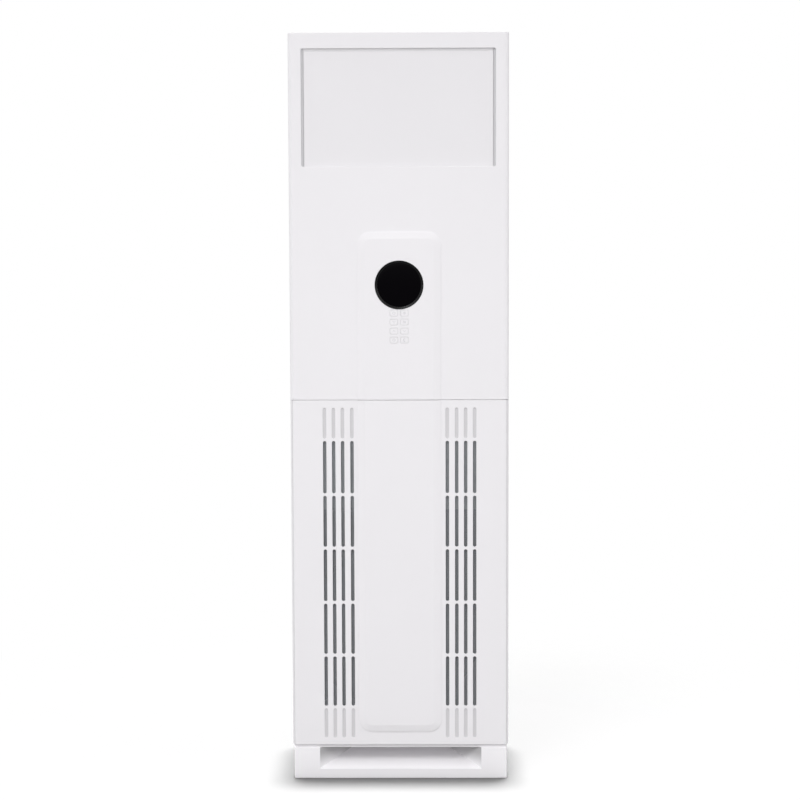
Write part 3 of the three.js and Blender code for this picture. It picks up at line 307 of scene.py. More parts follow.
def finStack(name, colour):
    paint = Paint(name)
    pitch = 0.0018
    share = paint.sum("FRACT", paint.axis("X") * (1 / pitch))
    edge = paint.sum("ABSOLUTE", share - 0.5)
    # painted shade: the gaps between the fins are painted near black in the colour
    between = paint.node("MapRange", None, {"Value": edge, "From Min": 0.12, "From Max": 0.3})
    dusty = paint.noise(20, 3)
    return paint.surface(
        base=paint.blend(between, shaded(colour, 0.12), paint.blend(dusty, colour, shaded(colour, 0.85))),
        metallic=0.85,
        roughness=paint.between(dusty, 0.32, 0.5),
        normal=paint.bump(between, 0.5, 0.0006),
    )


def beadFoam(name, colour):
    paint = Paint(name)
    beads = paint.node(
        "TexVoronoi", {"feature": "DISTANCE_TO_EDGE"},
        {"Vector": paint.spot, "Scale": 260, "Randomness": 0.9},
    )
    seams = paint.node("MapRange", None, {"Value": beads, "From Min": 0.0, "From Max": 0.12})
    patches = paint.noise(9, 3)
    return paint.surface(
        base=paint.blend(seams, shaded(colour, 0.8), paint.blend(patches, colour, shaded(colour, 1.12))),
        roughness=paint.between(patches, 0.72, 0.86),
        specular=0.25,
        normal=paint.bump(seams, 0.25, 0.0005),
    )


def boardLacquer(name, colour):
    paint = Paint(name)
    upright = paint.sum("FRACT", paint.axis("Z") * 160)
    across = paint.sum("FRACT", paint.axis("X") * 130)
    fields = paint.noise(70, 0)
    tracks = paint.sum("MAXIMUM", (upright < 0.3) * (fields > 0.52), (across < 0.28) * (fields < 0.47))
    return paint.surface(
        base=paint.blend(tracks, colour, rgb(72, 128, 84)),
        roughness=paint.between(fields, 0.3, 0.42),
        specular=0.5,
        normal=paint.bump(tracks, 0.3, 0.0001),
    )


def glossPanel(name, colour):
    paint = Paint(name)
    haze = paint.noise(90, 3)
    return paint.surface(
        base=paint.blend(haze, colour, shaded(colour, 1.3)),
        roughness=paint.between(haze, 0.06, 0.12),
        specular=0.02,
        normal=paint.bump(paint.noise(14, 1), 0.02, 0.0003),
    )


finishes = {
    "bodyWhite": rgb(238, 236, 239),
    # painted light: the plinth's white is lighter than the body's to stand in for light on the plinth
    "plinthPaintedLight": rgb(248, 246, 249),
    "doorWhite": rgb(234, 232, 235),
    "coatWhite": rgb(236, 234, 237),
    # painted shade: the door rails are a light grey so that the door's side gaps look shaded
    "railShadeGrey": rgb(204, 203, 206),
    "midGrey": rgb(92, 95, 99),
    "netGrey": rgb(168, 171, 175),
    "signGrey": rgb(205, 204, 207),
    "black": rgb(24, 24, 26),
    "bezel": rgb(14, 14, 15),
    "display": rgb(2, 1, 3),
    "zinc": rgb(176, 180, 183),
    "fin": rgb(202, 205, 208),
    "copper": rgb(190, 116, 72),
    "copperStain": rgb(118, 74, 52),
    "foam": rgb(66, 69, 73),
    "board": rgb(28, 84, 48),
}

paints = {
    "bodyPlastic": mouldedPlastic("bodyPlastic", finishes["bodyWhite"]),
    "doorPlastic": mouldedPlastic("doorPlastic", finishes["doorWhite"]),
    "railPlastic": mouldedPlastic("railPlastic", finishes["railShadeGrey"], 0.5),
    # the plinth's scoop carries painted shade, down to 0.45 of its white
    "plinthPlastic": scoopedPlastic("plinthPlastic", finishes["plinthPaintedLight"], 0.45),
    # the intake panel's groove floors carry painted shade at 0.78 of its white
    "intakePlastic": groovedPlastic("intakePlastic", finishes["bodyWhite"], 0.78),
    "bezelBlack": mouldedPlastic("bezelBlack", finishes["bezel"], 0.35, 0.03, 0.1, 0.18),
    "greyPlastic": mouldedPlastic("greyPlastic", finishes["midGrey"], 0.5, 0.12, 0.08),
    "netPlastic": mouldedPlastic("netPlastic", finishes["netGrey"], 0.55, 0.08, 0.05),
    "signInk": mouldedPlastic("signInk", finishes["signGrey"], 0.5, 0.03, 0.04),
    "blackPlastic": mouldedPlastic("blackPlastic", finishes["black"], 0.45, 0.1, 0.1),
    "coatedSteel": powderCoat("coatedSteel", finishes["coatWhite"]),
    "displayGloss": glossPanel("displayGloss", finishes["display"]),
    "zincSteel": zincSheet("zincSteel", finishes["zinc"]),
    "finAluminium": finStack("finAluminium", finishes["fin"]),
    "pipeCopper": drawnMetal("pipeCopper", finishes["copper"], finishes["copperStain"], 0.28),
    "screwSteel": drawnMetal("screwSteel", finishes["zinc"], shaded(finishes["zinc"], 0.6), 0.3),
    "linerFoam": beadFoam("linerFoam", finishes["foam"]),
    "boardGreen": boardLacquer("boardGreen", finishes["board"]),
}
print("materials:", len(paints))


class Form:  # points in millimetres, and faces
    def __init__(self):
        self.points = []
        self.faces = []

    def loft(self, rings):  # closed rings of equal count, capped at both ends
        start = len(self.points)
        count = len(rings[0])
        for ring in rings:
            self.points.extend(ring)
        for row in range(len(rings) - 1):
            for i in range(count):
                a = start + row * count + i
                b = start + row * count + (i + 1) % count
                self.faces.append((a, b, b + count, a + count))
        self.faces.append(tuple(start + i for i in range(count))[::-1])
        last = start + (len(rings) - 1) * count
        self.faces.append(tuple(last + i for i in range(count)))
        return self

    def mesh(self, name):
        made = bpy.data.meshes.new(name)
        made.from_pydata([Vector(p) * mm for p in self.points], [], self.faces)
        return tidied(made)


def tidied(mesh):  # welded, with its faces turned outwards
    edit = bmesh.new()
    edit.from_mesh(mesh)
    bmesh.ops.remove_doubles(edit, verts=edit.verts, dist=1e-7)
    bmesh.ops.recalc_face_normals(edit, faces=edit.faces)
    edit.to_mesh(mesh)
    edit.free()
    return mesh


def onAxis(axis, across, up, along):
    return {"X": (along, across, up), "Y": (across, along, up), "Z": (across, up, along)}[axis]


def prism(axis, outlineAt, layers):  # layers of (place along the axis, inset of the outline)
    return Form().loft([
        [onAxis(axis, a, b, place) for a, b in outlineAt(inset)] for place, inset in layers
    ])


def softEdge(radius, steps=3):  # (depth, inset) down a rounded edge
    turns = [math.pi / 2 * i / steps for i in range(steps + 1)]
    return [(radius * (1 - math.cos(turn)), radius * (1 - math.sin(turn))) for turn in turns]


def softLayers(start, end, startRadius, endRadius=None, steps=3):
    endRadius = startRadius if endRadius is None else endRadius
    way = 1 if end > start else -1
    first = [(start + way * depth, inset) for depth, inset in softEdge(startRadius, steps)] \
        if startRadius else [(start, 0)]
    last = [(end - way * depth, inset) for depth, inset in softEdge(endRadius, steps)] \
        if endRadius else [(end, 0)]
    return first + last[::-1]


def roundRect(left, right, bottom, top, radius, steps=6):
    def outlineAt(inset):
        r = max(radius - inset, 0.01)
        corners = (
            (right - inset - r, bottom + inset + r, -90), (right - inset - r, top - inset - r, 0),
            (left + inset + r, top - inset - r, 90), (left + inset + r, bottom + inset + r, 180),
        )
        points = []
        for x, z, start in corners:
            for i in range(steps + 1):
                turn = math.radians(start + 90 * i / steps)
                points.append((x + r * math.cos(turn), z + r * math.sin(turn)))
        return points
    return outlineAt


def circle(x, z, radius, steps=48):
    def outlineAt(inset):
        turns = [2 * math.pi * i / steps for i in range(steps)]
        return [(x + (radius - inset) * math.cos(t), z + (radius - inset) * math.sin(t)) for t in turns]
    return outlineAt


def box(x0, x1, y0, y1, z0, z1):
    return prism("Y", lambda inset: [(x0, z0), (x1, z0), (x1, z1), (x0, z1)], [(y0, 0), (y1, 0)])


def lipCutter(outlineAt, face, back, radius):  # cuts a hole along Y whose front rim is rounded
    rim = [(face + depth, -inset) for depth, inset in softEdge(radius)]
    return prism("Y", outlineAt, [(face - 2, -radius)] + rim + [(back, 0)])


def gathered(forms):
    whole = Form()
    for form in forms:
        start = len(whole.points)
        whole.points.extend(form.points)
        whole.faces.extend(tuple(start + i for i in face) for face in form.faces)
    return whole


sharpTurn = math.radians(38)  # faces that meet at more than this aren't shaded as one


def helper(mesh):
    piece = bpy.data.objects.new("helper", mesh)
    scene.collection.objects.link(piece)
    return piece


def asMesh(shape):
    return shape.mesh("helper") if isinstance(shape, Form) else shape


def carved(base, joined=(), cuts=()):
    body = helper(asMesh(base))
    tools = [(helper(asMesh(shape)), "UNION") for shape in joined]
    tools += [(helper(asMesh(shape)), "DIFFERENCE") for shape in cuts]
    for tool, operation in tools:
        step = body.modifiers.new(operation, "BOOLEAN")
        step.operation = operation
        step.solver = "MANIFOLD"
        step.object = tool
    bpy.context.view_layer.update()
    graph = bpy.context.evaluated_depsgraph_get()
    result = bpy.data.meshes.new_from_object(body.evaluated_get(graph))
    for piece in [body] + [tool for tool, _ in tools]:
        bpy.data.objects.remove(piece)
    return tidied(result)


def addPiece(name, shape, paint, body, replaces=(), bevel=0.0):
    mesh = asMesh(shape)
    mesh.name = name
    mesh.materials.clear()
    mesh.materials.append(paints[paint])
    piece = bpy.data.objects.new(name, mesh)
    scene.collection.objects.link(piece)
    if bevel:
        edge = piece.modifiers.new("softEdges", "BEVEL")
        edge.width = bevel * mm
        edge.segments = 2
        edge.limit_method = "ANGLE"
        edge.angle_limit = math.radians(30)
    edit = bmesh.new()
    edit.from_mesh(mesh)
    for face in edit.faces:
        face.smooth = True
    if not bevel:
        for side in edit.edges:
            if len(side.link_faces) == 2 and side.calc_face_angle(0) > sharpTurn:
                side.smooth = False
    edit.to_mesh(mesh)
    edit.free()
    weights = piece.modifiers.new("evenShading", "WEIGHTED_NORMAL")
    weights.keep_sharp = True
    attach(piece, body)
    if replaces:
        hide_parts(*replaces)
    return piece


band = {"halfWidth": 97, "bottom": 112.7, "top": 1293, "radius": 30, "step": 1.5, "slope": 17}
outlet = {"halfWidth": 224.7, "bottom": 1443.5, "top": 1714, "radius": 4, "lip": 0.9}
display = {"height": 1170, "radius": 56.5, "hole": 56.8}
keyPlan = {
    "columns": (-12.2, 12.2), "rows": (1105, 1084, 1063, 1042), "width": 18, "height": 14,
    "radius": 3, "gap": 0.3, "edge": 0.5,
}
slots = {
    "columns": (111.5, 133.5, 154.5, 175.5), "width": 8, "bridge": 6, "lip": 0.7,
    "ends": (171.4, 296.2, 422.6, 551.9, 678.9, 808.4),
    "grooveBottom": 97.8, "grooveTop": 883.6, "grooveDepth": 2.0,
}
panelBack = front["face"] + front["wall"]
spare = 6  # how far a panel is made past the seam, where it is cut off
offcut = (-300, 300, -200, -100)  # across and in depth, past the panels on every side
tongue = {"halfWidth": 242, "front": 0.3, "back": 2.5, "reach": 12}  # behind the seam
bosses = {"places": [(x, z) for x in (-29.2, 29.2) for z in (1034, 1113)], "radius": 3, "back": -146.7}
guides = {  # the grooves that hold the filters
    "inner": (95.2, 97.7), "outer": (191.3, 193.8), "innerLip": (95.2, 101.7), "outerLip": (187.3, 193.8),
    "lipFront": -144.4, "back": -141.9, "bottom": 160, "sill": 164.7, "top": 809,
}


def shellSection(inset):
    half, wall, corner = front["halfWidth"], front["wall"], front["corner"]
    centreX, centreY = half - corner, front["face"] + corner
    rear = front["wrapRear"] - inset

    def arc(x, radius, start, end, steps=8):
        return [(
            x + radius * math.cos(math.radians(start + (end - start) * i / steps)),
            centreY + radius * math.sin(math.radians(start + (end - start) * i / steps)),
        ) for i in range(steps + 1)]
    outer, inner = corner - inset, corner - wall + inset
    return ([(-half + inset, rear)] + arc(-centreX, outer, 180, 270) + arc(centreX, outer, 270, 360)
            + [(half - inset, rear), (half - wall + inset, rear)]
            + arc(centreX, inner, 360, 270) + arc(-centreX, inner, 270, 180)
            + [(-half + wall - inset, rear)])


def bandForm():
    half = band["halfWidth"]
    outlineAt = roundRect(-half, half, band["bottom"], band["top"], band["radius"], 12)
    edgeY = front["face"] - band["step"]
    rise = edgeY - front["bandFace"]
    layers = [(front["face"] + 1, 0), (edgeY + 0.35, 0), (edgeY + 0.1, 0.1), (edgeY, 0.35)]
    for share in (0.25, 0.5, 0.75, 0.86, 0.94, 1.0):
        climb = share * 1.06 if share <= 0.75 else 1 - (1 - share) ** 2 * 3.28
        layers.append((edgeY - rise * min(climb, 1.0), 0.35 + share * band["slope"]))
    return prism("Y", outlineAt, layers)


def softenSeam(mesh, height, radius):  # rounds the outer edge where a panel ends at the seam
    edit = bmesh.new()
    edit.from_mesh(mesh)
    outside, rear = (front["halfWidth"] - 1.5) * mm, (front["wrapRear"] - 1) * mm
    rim = []
    for side in edit.edges:
        if any(abs(vert.co.z - height * mm) > 1e-6 for vert in side.verts) or len(side.link_faces) != 2:
            continue
        walls = [face for face in side.link_faces if abs(face.normal.z) < 0.5]
        if len(walls) != 1:
            continue
        normal, middle = walls[0].normal, (side.verts[0].co + side.verts[1].co) / 2
        sideways = normal.x * middle.x > 0 and abs(normal.x) > 0.3 and abs(middle.x) > outside
        if (normal.y < -0.3 or sideways) and middle.y < rear:
            rim.append(side)
    bmesh.ops.bevel(edit, geom=rim, offset=radius * mm, segments=2, profile=0.5, affect="EDGES")
    edit.to_mesh(mesh)
    edit.free()
    return mesh


def keyOutline(x, z, grow=0.0):
    wide, high = keyPlan["width"] / 2 + grow, keyPlan["height"] / 2 + grow
    return roundRect(x - wide, x + wide, z - high, z + high, keyPlan["radius"] + grow, 5)


keySpots = [(x, z) for z in keyPlan["rows"] for x in keyPlan["columns"]]


def buildUpperPanel():
    seam, face, back = front["seamHigh"], front["bandFace"], panelBack + 1
    end = softLayers(seam, front["top"], 0, front["endRadius"])[1:]
    shell = prism("Z", shellSection, [(seam - spare, 0)] + end)
    below = box(*offcut, seam - 900, seam)
    wide, reach, tongueBack = tongue["halfWidth"], tongue["reach"], panelBack + tongue["back"]
    flap = box(-wide, wide, panelBack + tongue["front"], tongueBack, seam - reach, seam + reach)
    foot = box(-wide, wide, panelBack - 1, tongueBack, seam + 0.01, seam + reach)
    pegs = gathered([
        prism("Y", circle(x, z, bosses["radius"], 24), [(panelBack - 1, 0), (bosses["back"], 0)])
        for x, z in bosses["places"]
    ])
    half = outlet["halfWidth"]
    opening = roundRect(-half, half, outlet["bottom"], outlet["top"], outlet["radius"])
    holes = gathered([
        lipCutter(opening, front["face"], back, outlet["lip"]),
        lipCutter(circle(0, display["height"], display["hole"], 96), face, back, 0.5),
    ] + [lipCutter(keyOutline(x, z, keyPlan["gap"]), face, back, 0.4) for x, z in keySpots])
    whole = carved(shell, joined=[bandForm()], cuts=[below])
    whole = softenSeam(whole, seam, front["seamRadius"])
    whole = carved(whole, joined=[foot, flap, pegs], cuts=[holes])
    addPiece("upperPanel", whole, "bodyPlastic", "cabinet", ["upper_front_panel"])


def guideForms(side):
    start, lipFront, back = panelBack - 1, guides["lipFront"], guides["back"]
    bottom, top = guides["bottom"], guides["top"]

    def span(pair):
        return sorted(side * x for x in pair)
    return [
        box(*span(guides["outer"]), start, back, bottom, top),
        box(*span(guides["outerLip"]), lipFront, back, bottom, top),
        box(*span(guides["inner"]), start, back, bottom, top),
        box(*span(guides["innerLip"]), lipFront, back, bottom, top),
        box(*span((guides["inner"][0], guides["outer"][1])), start, back, bottom, guides["sill"]),
    ]


def buildIntakePanel():
    seam, face = front["seamLow"], front["face"]
    start = softLayers(front["bottom"], seam, front["endRadius"], 0)[:-1]
    shell = prism("Z", shellSection, start + [(seam + spare, 0)])
    above = box(*offcut, seam, seam + 900)
    half, rib, ends = slots["width"] / 2, slots["bridge"] / 2, slots["ends"]
    floor = face + slots["grooveDepth"]
    rim = [(face + depth, -inset) for depth, inset in softEdge(0.5, 2)]
    openings, grooves = [], []
    for x in [side * x for x in slots["columns"] for side in (-1, 1)]:
        for low, high in zip(ends[:-1], ends[1:]):
            outlineAt = roundRect(x - half, x + half, low + rib, high - rib, half)
            openings.append(lipCutter(outlineAt, face, panelBack + 1, slots["lip"]))
        for low, high in ((slots["grooveBottom"], ends[0] - rib), (ends[-1] + rib, slots["grooveTop"])):
            grooves.append(prism("Y", roundRect(x - half, x + half, low, high, half), [
                (face - 2, -0.5), *rim, (floor - 0.4, 0), (floor - 0.12, 0.12), (floor, 0.4),
            ]))
    whole = carved(shell, joined=[bandForm()], cuts=[above])
    whole = softenSeam(whole, seam, front["seamRadius"])
    whole = carved(whole, joined=guideForms(-1) + guideForms(1), cuts=[gathered(openings), gathered(grooves)])
    addPiece("intakePanel", whole, "intakePlastic", "intake", ["intake_panel"])


door = {
    "halfWidth": 219, "bottom": 1425, "top": 1709, "front": -149.5, "back": -144.5, "edge": 1.0,
    "tongue": 3.5, "tongueFront": -146.7, "lipFront": -150.2, "lipBack": -147.2, "lipTop": 1716,
    "rackX": 210, "rackWidth": 10, "rackBottom": 1390, "rackRoot": 1.5,
    "module": 3, "pressureAngle": 25, "backlash": 0.6, "shaftHeight": 1409,
}


def rackForm(x):  # a toothed rack that the pinions drive
    pitch = math.pi * door["module"]
    lean = math.tan(math.radians(door["pressureAngle"]))
    addendum, dedendum = 0.7 * door["module"], 0.8 * door["module"]
    root = door["back"] + door["rackRoot"]
    tip = root + dedendum + addendum
    half = (pitch - door["backlash"]) / 4
    footHalf, tipHalf = half + dedendum * lean, half - addendum * lean
    profile = [(door["back"] - 1, door["rackBottom"]), (root, door["rackBottom"])]
    teethBelow = math.floor((door["shaftHeight"] - door["rackBottom"]) / pitch)
    height = door["shaftHeight"] + pitch / 2 - pitch * teethBelow
    while height < door["top"] - pitch:
        profile += [(root, height - footHalf), (tip, height - tipHalf),
                    (tip, height + tipHalf), (root, height + footHalf)]
        height += pitch
    profile += [(root, door["top"] - 2), (door["back"] - 1, door["top"] - 2)]
    reach = door["rackWidth"] / 2
    return prism("X", lambda inset: profile, [(x - reach, 0), (x + reach, 0)])


def buildDoor():
    half, reach = door["halfWidth"], door["rackWidth"] / 2
    plate = prism("Y", roundRect(-half, half, door["bottom"], door["top"], 1.5, 3),
                  softLayers(door["front"], door["back"], door["edge"], 0.4))
    tongues = box(-half - door["tongue"], half + door["tongue"], door["tongueFront"], door["back"] - 0.01,
                  door["bottom"] + 0.01, door["top"] - 0.01)
    legs = gathered([
        box(x - reach + 0.01, x + reach - 0.01, door["front"] + 1, door["back"] + 1.4,
            door["rackBottom"] + 0.01, door["bottom"] + 5)
        for x in (-door["rackX"], door["rackX"])
    ])
    racks = gathered([rackForm(x) for x in (-door["rackX"], door["rackX"])])
    lip = prism("Z", lambda inset: [
        (-half + 0.02, door["lipBack"]), (-half + 0.02, door["lipFront"] + inset),
        (half - 0.02, door["lipFront"] + inset), (half - 0.02, door["lipBack"]),
    ], [(door["top"] - 2.2, 0.9), (door["top"] - 1, 0.5), (door["top"] - 0.2, 0), (door["lipTop"], 0)])
    addPiece("doorPlate", carved(plate, joined=[tongues, lip, legs, racks]), "doorPlastic", "outlet_door",
             ["outlet_door"])


def lathe(profile, height, steps=96):  # profile of (radius, y), from the axis and back to it
    turns = [2 * math.pi * i / steps for i in range(steps)]
    return Form().loft([
        [(radius * math.cos(t), y, height + radius * math.sin(t)) for t in turns] for radius, y in profile
    ])


bezel = {"rim": 0.5, "coneInner": 51.2, "coneDepth": 2.8, "back": -151.3, "seat": -152.5}
window = {"radius": 51.0, "dome": 0.5, "back": -152.9, "rise": 0.2}


def buildDisplay():
    face, radius = front["bandFace"], display["radius"]
    rim, back, inner, floor = bezel["rim"], bezel["back"], bezel["coneInner"], face + bezel["coneDepth"]
    profile = [
        (0.01, back), (radius - 0.3, back), (radius, back - 0.3), (radius, face + rim),
        (radius - 0.15, face + 0.15), (radius - rim, face), (radius - rim - 0.4, face + 0.05),
        (inner + 0.5, floor - 0.1), (inner, floor), (inner, bezel["seat"]), (0.01, bezel["seat"]),
    ]
    addPiece("displayBezel", lathe(profile, display["height"]), "bezelBlack", "cabinet",
             ["display_bezel"])
    edge, glassFront = window["radius"], floor - window["rise"]
    glass = [(0.01, window["back"]), (edge, window["back"]), (edge, glassFront + 0.4),
             (edge - 0.12, glassFront + 0.12), (edge - 0.4, glassFront)]
    glass += [
        (edge * math.cos(t), glassFront - window["dome"] * math.sin(t))
        for t in (math.radians(a) for a in (12, 25, 40, 58, 76, 89.9))
    ]
    addPiece("displayGlass", lathe(glass, display["height"]), "displayGloss", "cabinet",
             ["display_window"])


def stroke(points, width, y0, y1, closed=False):  # a line drawn as a thin bar
    form = Form()
    count = len(points)
    sides = [[], []]
    for i, (x, z) in enumerate(points):
        before = points[i - 1] if i or closed else points[i]
        after = points[(i + 1) % count] if i < count - 1 or closed else points[i]
        dx, dz = after[0] - before[0], after[1] - before[1]
        size = math.hypot(dx, dz) or 1
        sides[0].append((x - dz / size * width / 2, z + dx / size * width / 2))
        sides[1].append((x + dz / size * width / 2, z - dx / size * width / 2))
    for i in range(count if closed else count - 1):
        j = (i + 1) % count
        quad = [sides[0][i], sides[0][j], sides[1][j], sides[1][i]]
        base = len(form.points)
        form.points += [(x, y0, z) for x, z in quad] + [(x, y1, z) for x, z in quad]
        form.faces += [(base, base + 1, base + 2, base + 3), (base + 7, base + 6, base + 5, base + 4)]
        walled = {1: not closed and i == count - 2, 3: not closed and i == 0}
        for edge in range(4):
            if walled.get(edge, True):
                a, b = base + edge, base + (edge + 1) % 4
                form.faces.append((a, a + 4, b + 4, b))
    return form


def arcPoints(radius, start, end, steps=16, x=0.0, z=0.0):
    return [(
        x + radius * math.cos(math.radians(start + (end - start) * i / steps)),
        z + radius * math.sin(math.radians(start + (end - start) * i / steps)),
    ) for i in range(steps + 1)]


signLine = {"width": 0.75, "proud": 0.06, "sunk": 0.25}
# each sign is a list of (points, closed): on and off, mode, fan, swing, warmer, cooler, timer, night
signs = [
    [(arcPoints(3, 120, 420), False), ([(0, 0.6), (0, 4)], False)],
    [(arcPoints(1.5, 0, 337.5, 15), True)]
    + [([(2.4 * math.cos(t), 2.4 * math.sin(t)), (3.7 * math.cos(t), 3.7 * math.sin(t))], False)
       for t in (math.pi / 4 * i for i in range(8))],
    [([(0.5 * math.cos(t), 0.5 * math.sin(t)), (2.2 * math.cos(t + 0.25), 2.2 * math.sin(t + 0.25)),
       (3.6 * math.cos(t + 0.75), 3.6 * math.sin(t + 0.75))], False)
     for t in (2 * math.pi / 3 * i for i in range(3))],
    [([(-3.5, z), (-1.75, z + 0.7), (0, z), (1.75, z - 0.7), (3.5, z)], False) for z in (-2, 0, 2)],
    [([(-3, -1.5), (0, 1.8), (3, -1.5)], False)],
    [([(-3, 1.5), (0, -1.8), (3, 1.5)], False)],
    [(arcPoints(3.2, 0, 337.5, 15), True), ([(0, 2), (0, 0), (1.5, -0.9)], False)],
    [(arcPoints(3.2, 60, 300, 14) + arcPoints(3.0, 285, 75, 10, 1.35, 0)[1:-1], True)],
]


def buildKeys():
    face = front["bandFace"] + 0.15
    flange = panelBack + 0.3
    for i, (x, z) in enumerate(keySpots):
        cap = prism("Y", keyOutline(x, z), softLayers(face, flange + 0.5, keyPlan["edge"], 0))
        base = prism("Y", keyOutline(x, z, 1.5), [(flange, 0), (flange + 1.5, 0)])
        nub = prism("Y", circle(x, z, 2, 16), [(flange + 1, 0), (flange + 3, 0)])
        name = f"key_{i + 1}"
        key = carved(cap, joined=[base, nub])
        addPiece(f"keyCap_{i + 1}", key, "bodyPlastic", name, [name])
        lines = gathered([
            stroke([(x + px, z + pz) for px, pz in points], signLine["width"],
                   face - signLine["proud"], face + signLine["sunk"], closed)
            for points, closed in signs[i]
        ])
        addPiece(f"keySign_{i + 1}", lines, "signInk", name)


def scoopForm(grow):  # the hollow under the cabinet's front, wide at the mouth and narrow behind
    p = plinth
    low, high = p["lip"] - grow, p["height"] + 1

    def ring(y, half, bottom):
        wide = half + grow
        return [(-wide, y, bottom), (wide, y, bottom), (wide, y, high), (-wide, y, high)]
    return Form().loft([
        ring(p["front"] - 1, p["scoopHalf"], low), ring(p["front"], p["scoopHalf"], low),
        ring(p["front"] + p["scoopDepth"] + grow, p["scoopBackHalf"], p["height"] - grow),
    ])


def buildPlinth():
    p = plinth
    wall, half = p["wall"], p["halfWidth"]
    footprint = roundRect(-half, half, p["front"], p["rear"], p["corner"], 4)
    block = prism("Z", footprint, softLayers(0, p["height"], 1.2, 0.6))
    room = box(-half + wall, half - wall, p["front"] + wall, p["rear"] - wall, -1, p["height"] - wall)
    hollow = carved(room, cuts=[scoopForm(wall + 1)])
    body = carved(block, cuts=[scoopForm(0), hollow])
    addPiece("plinthBody", body, "plinthPlastic", "cabinet", ["base_plinth"], bevel=0.45)


casing = {
    "halfWidth": 255, "sideFront": -129.7, "sideRear": 150, "sheet": 1.5, "flange": 15,
    "bottom": 81, "top": 1746.7, "rearHalf": 253, "rearFront": 150.3, "rearBack": 151.8,
    "pipeHole": (-209, 150, 37),  # across, up, radius
    "knockOut": (60, 190, 34), "knockOutGap": 1.2, "knockOutDepth": 0.35,
    "beads": (-150, -50, 50, 150), "beadWidth": 18, "beadEnds": (320, 1560),
    "coverHalf": 251.7, "coverInner": 6.7, "coverBottom": 1747,
}


def buildSide(name, side):
    c = casing
    rear, inside = c["sideRear"], c["sideRear"] - c["sheet"]
    outer, inner, flange = (side * (c["halfWidth"] - depth) for depth in (0, c["sheet"], c["flange"]))
    profile = [(outer, c["sideFront"]), (outer, rear), (flange, rear),
               (flange, inside), (inner, inside), (inner, c["sideFront"])]
    form = prism("Z", lambda inset: profile, [(c["bottom"], 0), (c["top"], 0)])
    y, z, radius = c["knockOut"]
    ring = prism("X", circle(y, z, radius, 64), [(outer - side * c["knockOutDepth"], 0), (outer + side, 0)])
    island = prism("X", circle(y, z, radius - c["knockOutGap"], 64), [(outer - side, 0), (outer, 0)])
    body = carved(carved(form, cuts=[ring]), joined=[island])
    addPiece(f"{name}Side", body, "coatedSteel", "cabinet", [f"{name}_side_panel"], bevel=0.35)


def buildRear():
    c = casing
    holeX, holeZ, holeRadius = c["pipeHole"]
    back, half = c["rearBack"], c["beadWidth"] / 2
    sheet = box(-c["rearHalf"], c["rearHalf"], c["rearFront"], back, c["bottom"], c["top"])
    beads = gathered([
        prism("Y", roundRect(x - half, x + half, *c["beadEnds"], half), [
            (back - 0.5, 0), (back + 0.5, 0.3), (back + 2.4, 1.8), (back + 2.9, 2.8), (back + 3.0, 4.2),
        ]) for x in c["beads"]
    ])
    hole = prism("Y", circle(holeX, holeZ, holeRadius, 64), [(c["rearFront"] - 1, 0), (back + 1, 0)])
    body = carved(sheet, joined=[beads], cuts=[hole])
    addPiece("rearSheet", body, "coatedSteel", "cabinet", ["rear_panel"])


def buildGrommet():  # a rubber ring round the pipe hole
    holeX, holeZ, holeRadius = casing["pipeHole"]
    inside, back = casing["rearFront"] - 1.5, casing["rearBack"]
    section = [(4, back + 0.1), (3.6, back + 1.4), (2, back + 2), (-1.5, back + 2), (-2.4, back + 1),
               (-2.4, inside), (-0.2, inside), (-0.2, back + 0.1)]
    grommet = Form()
    steps, count = 64, len(section)
    for i in range(steps):
        t = 2 * math.pi * i / steps
        for grow, y in section:
            radius = holeRadius + grow
            grommet.points.append((holeX + radius * math.cos(t), y, holeZ + radius * math.sin(t)))
        row, beyond = i * count, (i + 1) % steps * count
        for k in range(count):
            following = (k + 1) % count
            grommet.faces.append((row + k, row + following, beyond + following, beyond + k))
    addPiece("pipeGrommet", grommet, "blackPlastic", "cabinet")


def buildCover():
    c = casing

    def outlineAt(inset):
        half, side, inner = c["halfWidth"] - inset, c["coverHalf"] - inset, c["coverInner"] - inset
        centreX, centreY = c["coverHalf"] - c["coverInner"], front["face"] + front["corner"]
        rear, step = c["rearBack"] - inset, c["sideFront"] + inset
        corners = []
        for x, start in ((-centreX, 180), (centreX, 270)):
            turns = [math.radians(start + 90 * i / 6) for i in range(7)]
            corners += [(x + inner * math.cos(t), centreY + inner * math.sin(t)) for t in turns]
        return [(-half, rear), (-half, step), (-side, step), *corners,
                (side, step), (half, step), (half, rear)]
    cover = prism("Z", outlineAt, softLayers(c["coverBottom"], front["top"], 0.1, 0.8))
    addPiece("topCover", cover, "bodyPlastic", "cabinet", ["top_cover"])


def screwMesh():  # a pan head with a cross recess, facing -Y at the origin
    head = lathe([
        (0.01, 0.6), (4, 0.6), (4, -0.5), (3.7, -1.1), (3.0, -1.6), (1.8, -1.95), (0.01, -2.05),
    ], 0, 32)
    recess = [
        prism("Y", roundRect(-wide, wide, -high, high, 0.4, 3), [(-3, -0.15), (-1.9, -0.1), (-0.9, 0.2)])
        for wide, high in ((0.45, 2.1), (2.1, 0.45))
    ]
    return carved(head, cuts=recess)


screws = {  # piece: where its heads stand in depth, which way they face, and their places
    "rearScrews": (
        151.2, 1,
        [(side * 246, z) for side in (-1, 1) for z in (110, 380, 650, 920, 1190, 1460, 1722)]
        + [(x, 1722) for x in (-82, 82)] + [(x, 95) for x in (-82, 82)],
    ),
    "coverScrews": (-124.4, -1, [(-188, 655), (-51, 655), (-188, 802), (-51, 802)]),
    "chamberScrews": (
        -130.7, -1, [(side * 192, z) for side in (-1, 1) for z in (840, 960, 1100, 1240, 1355)],
    ),
}


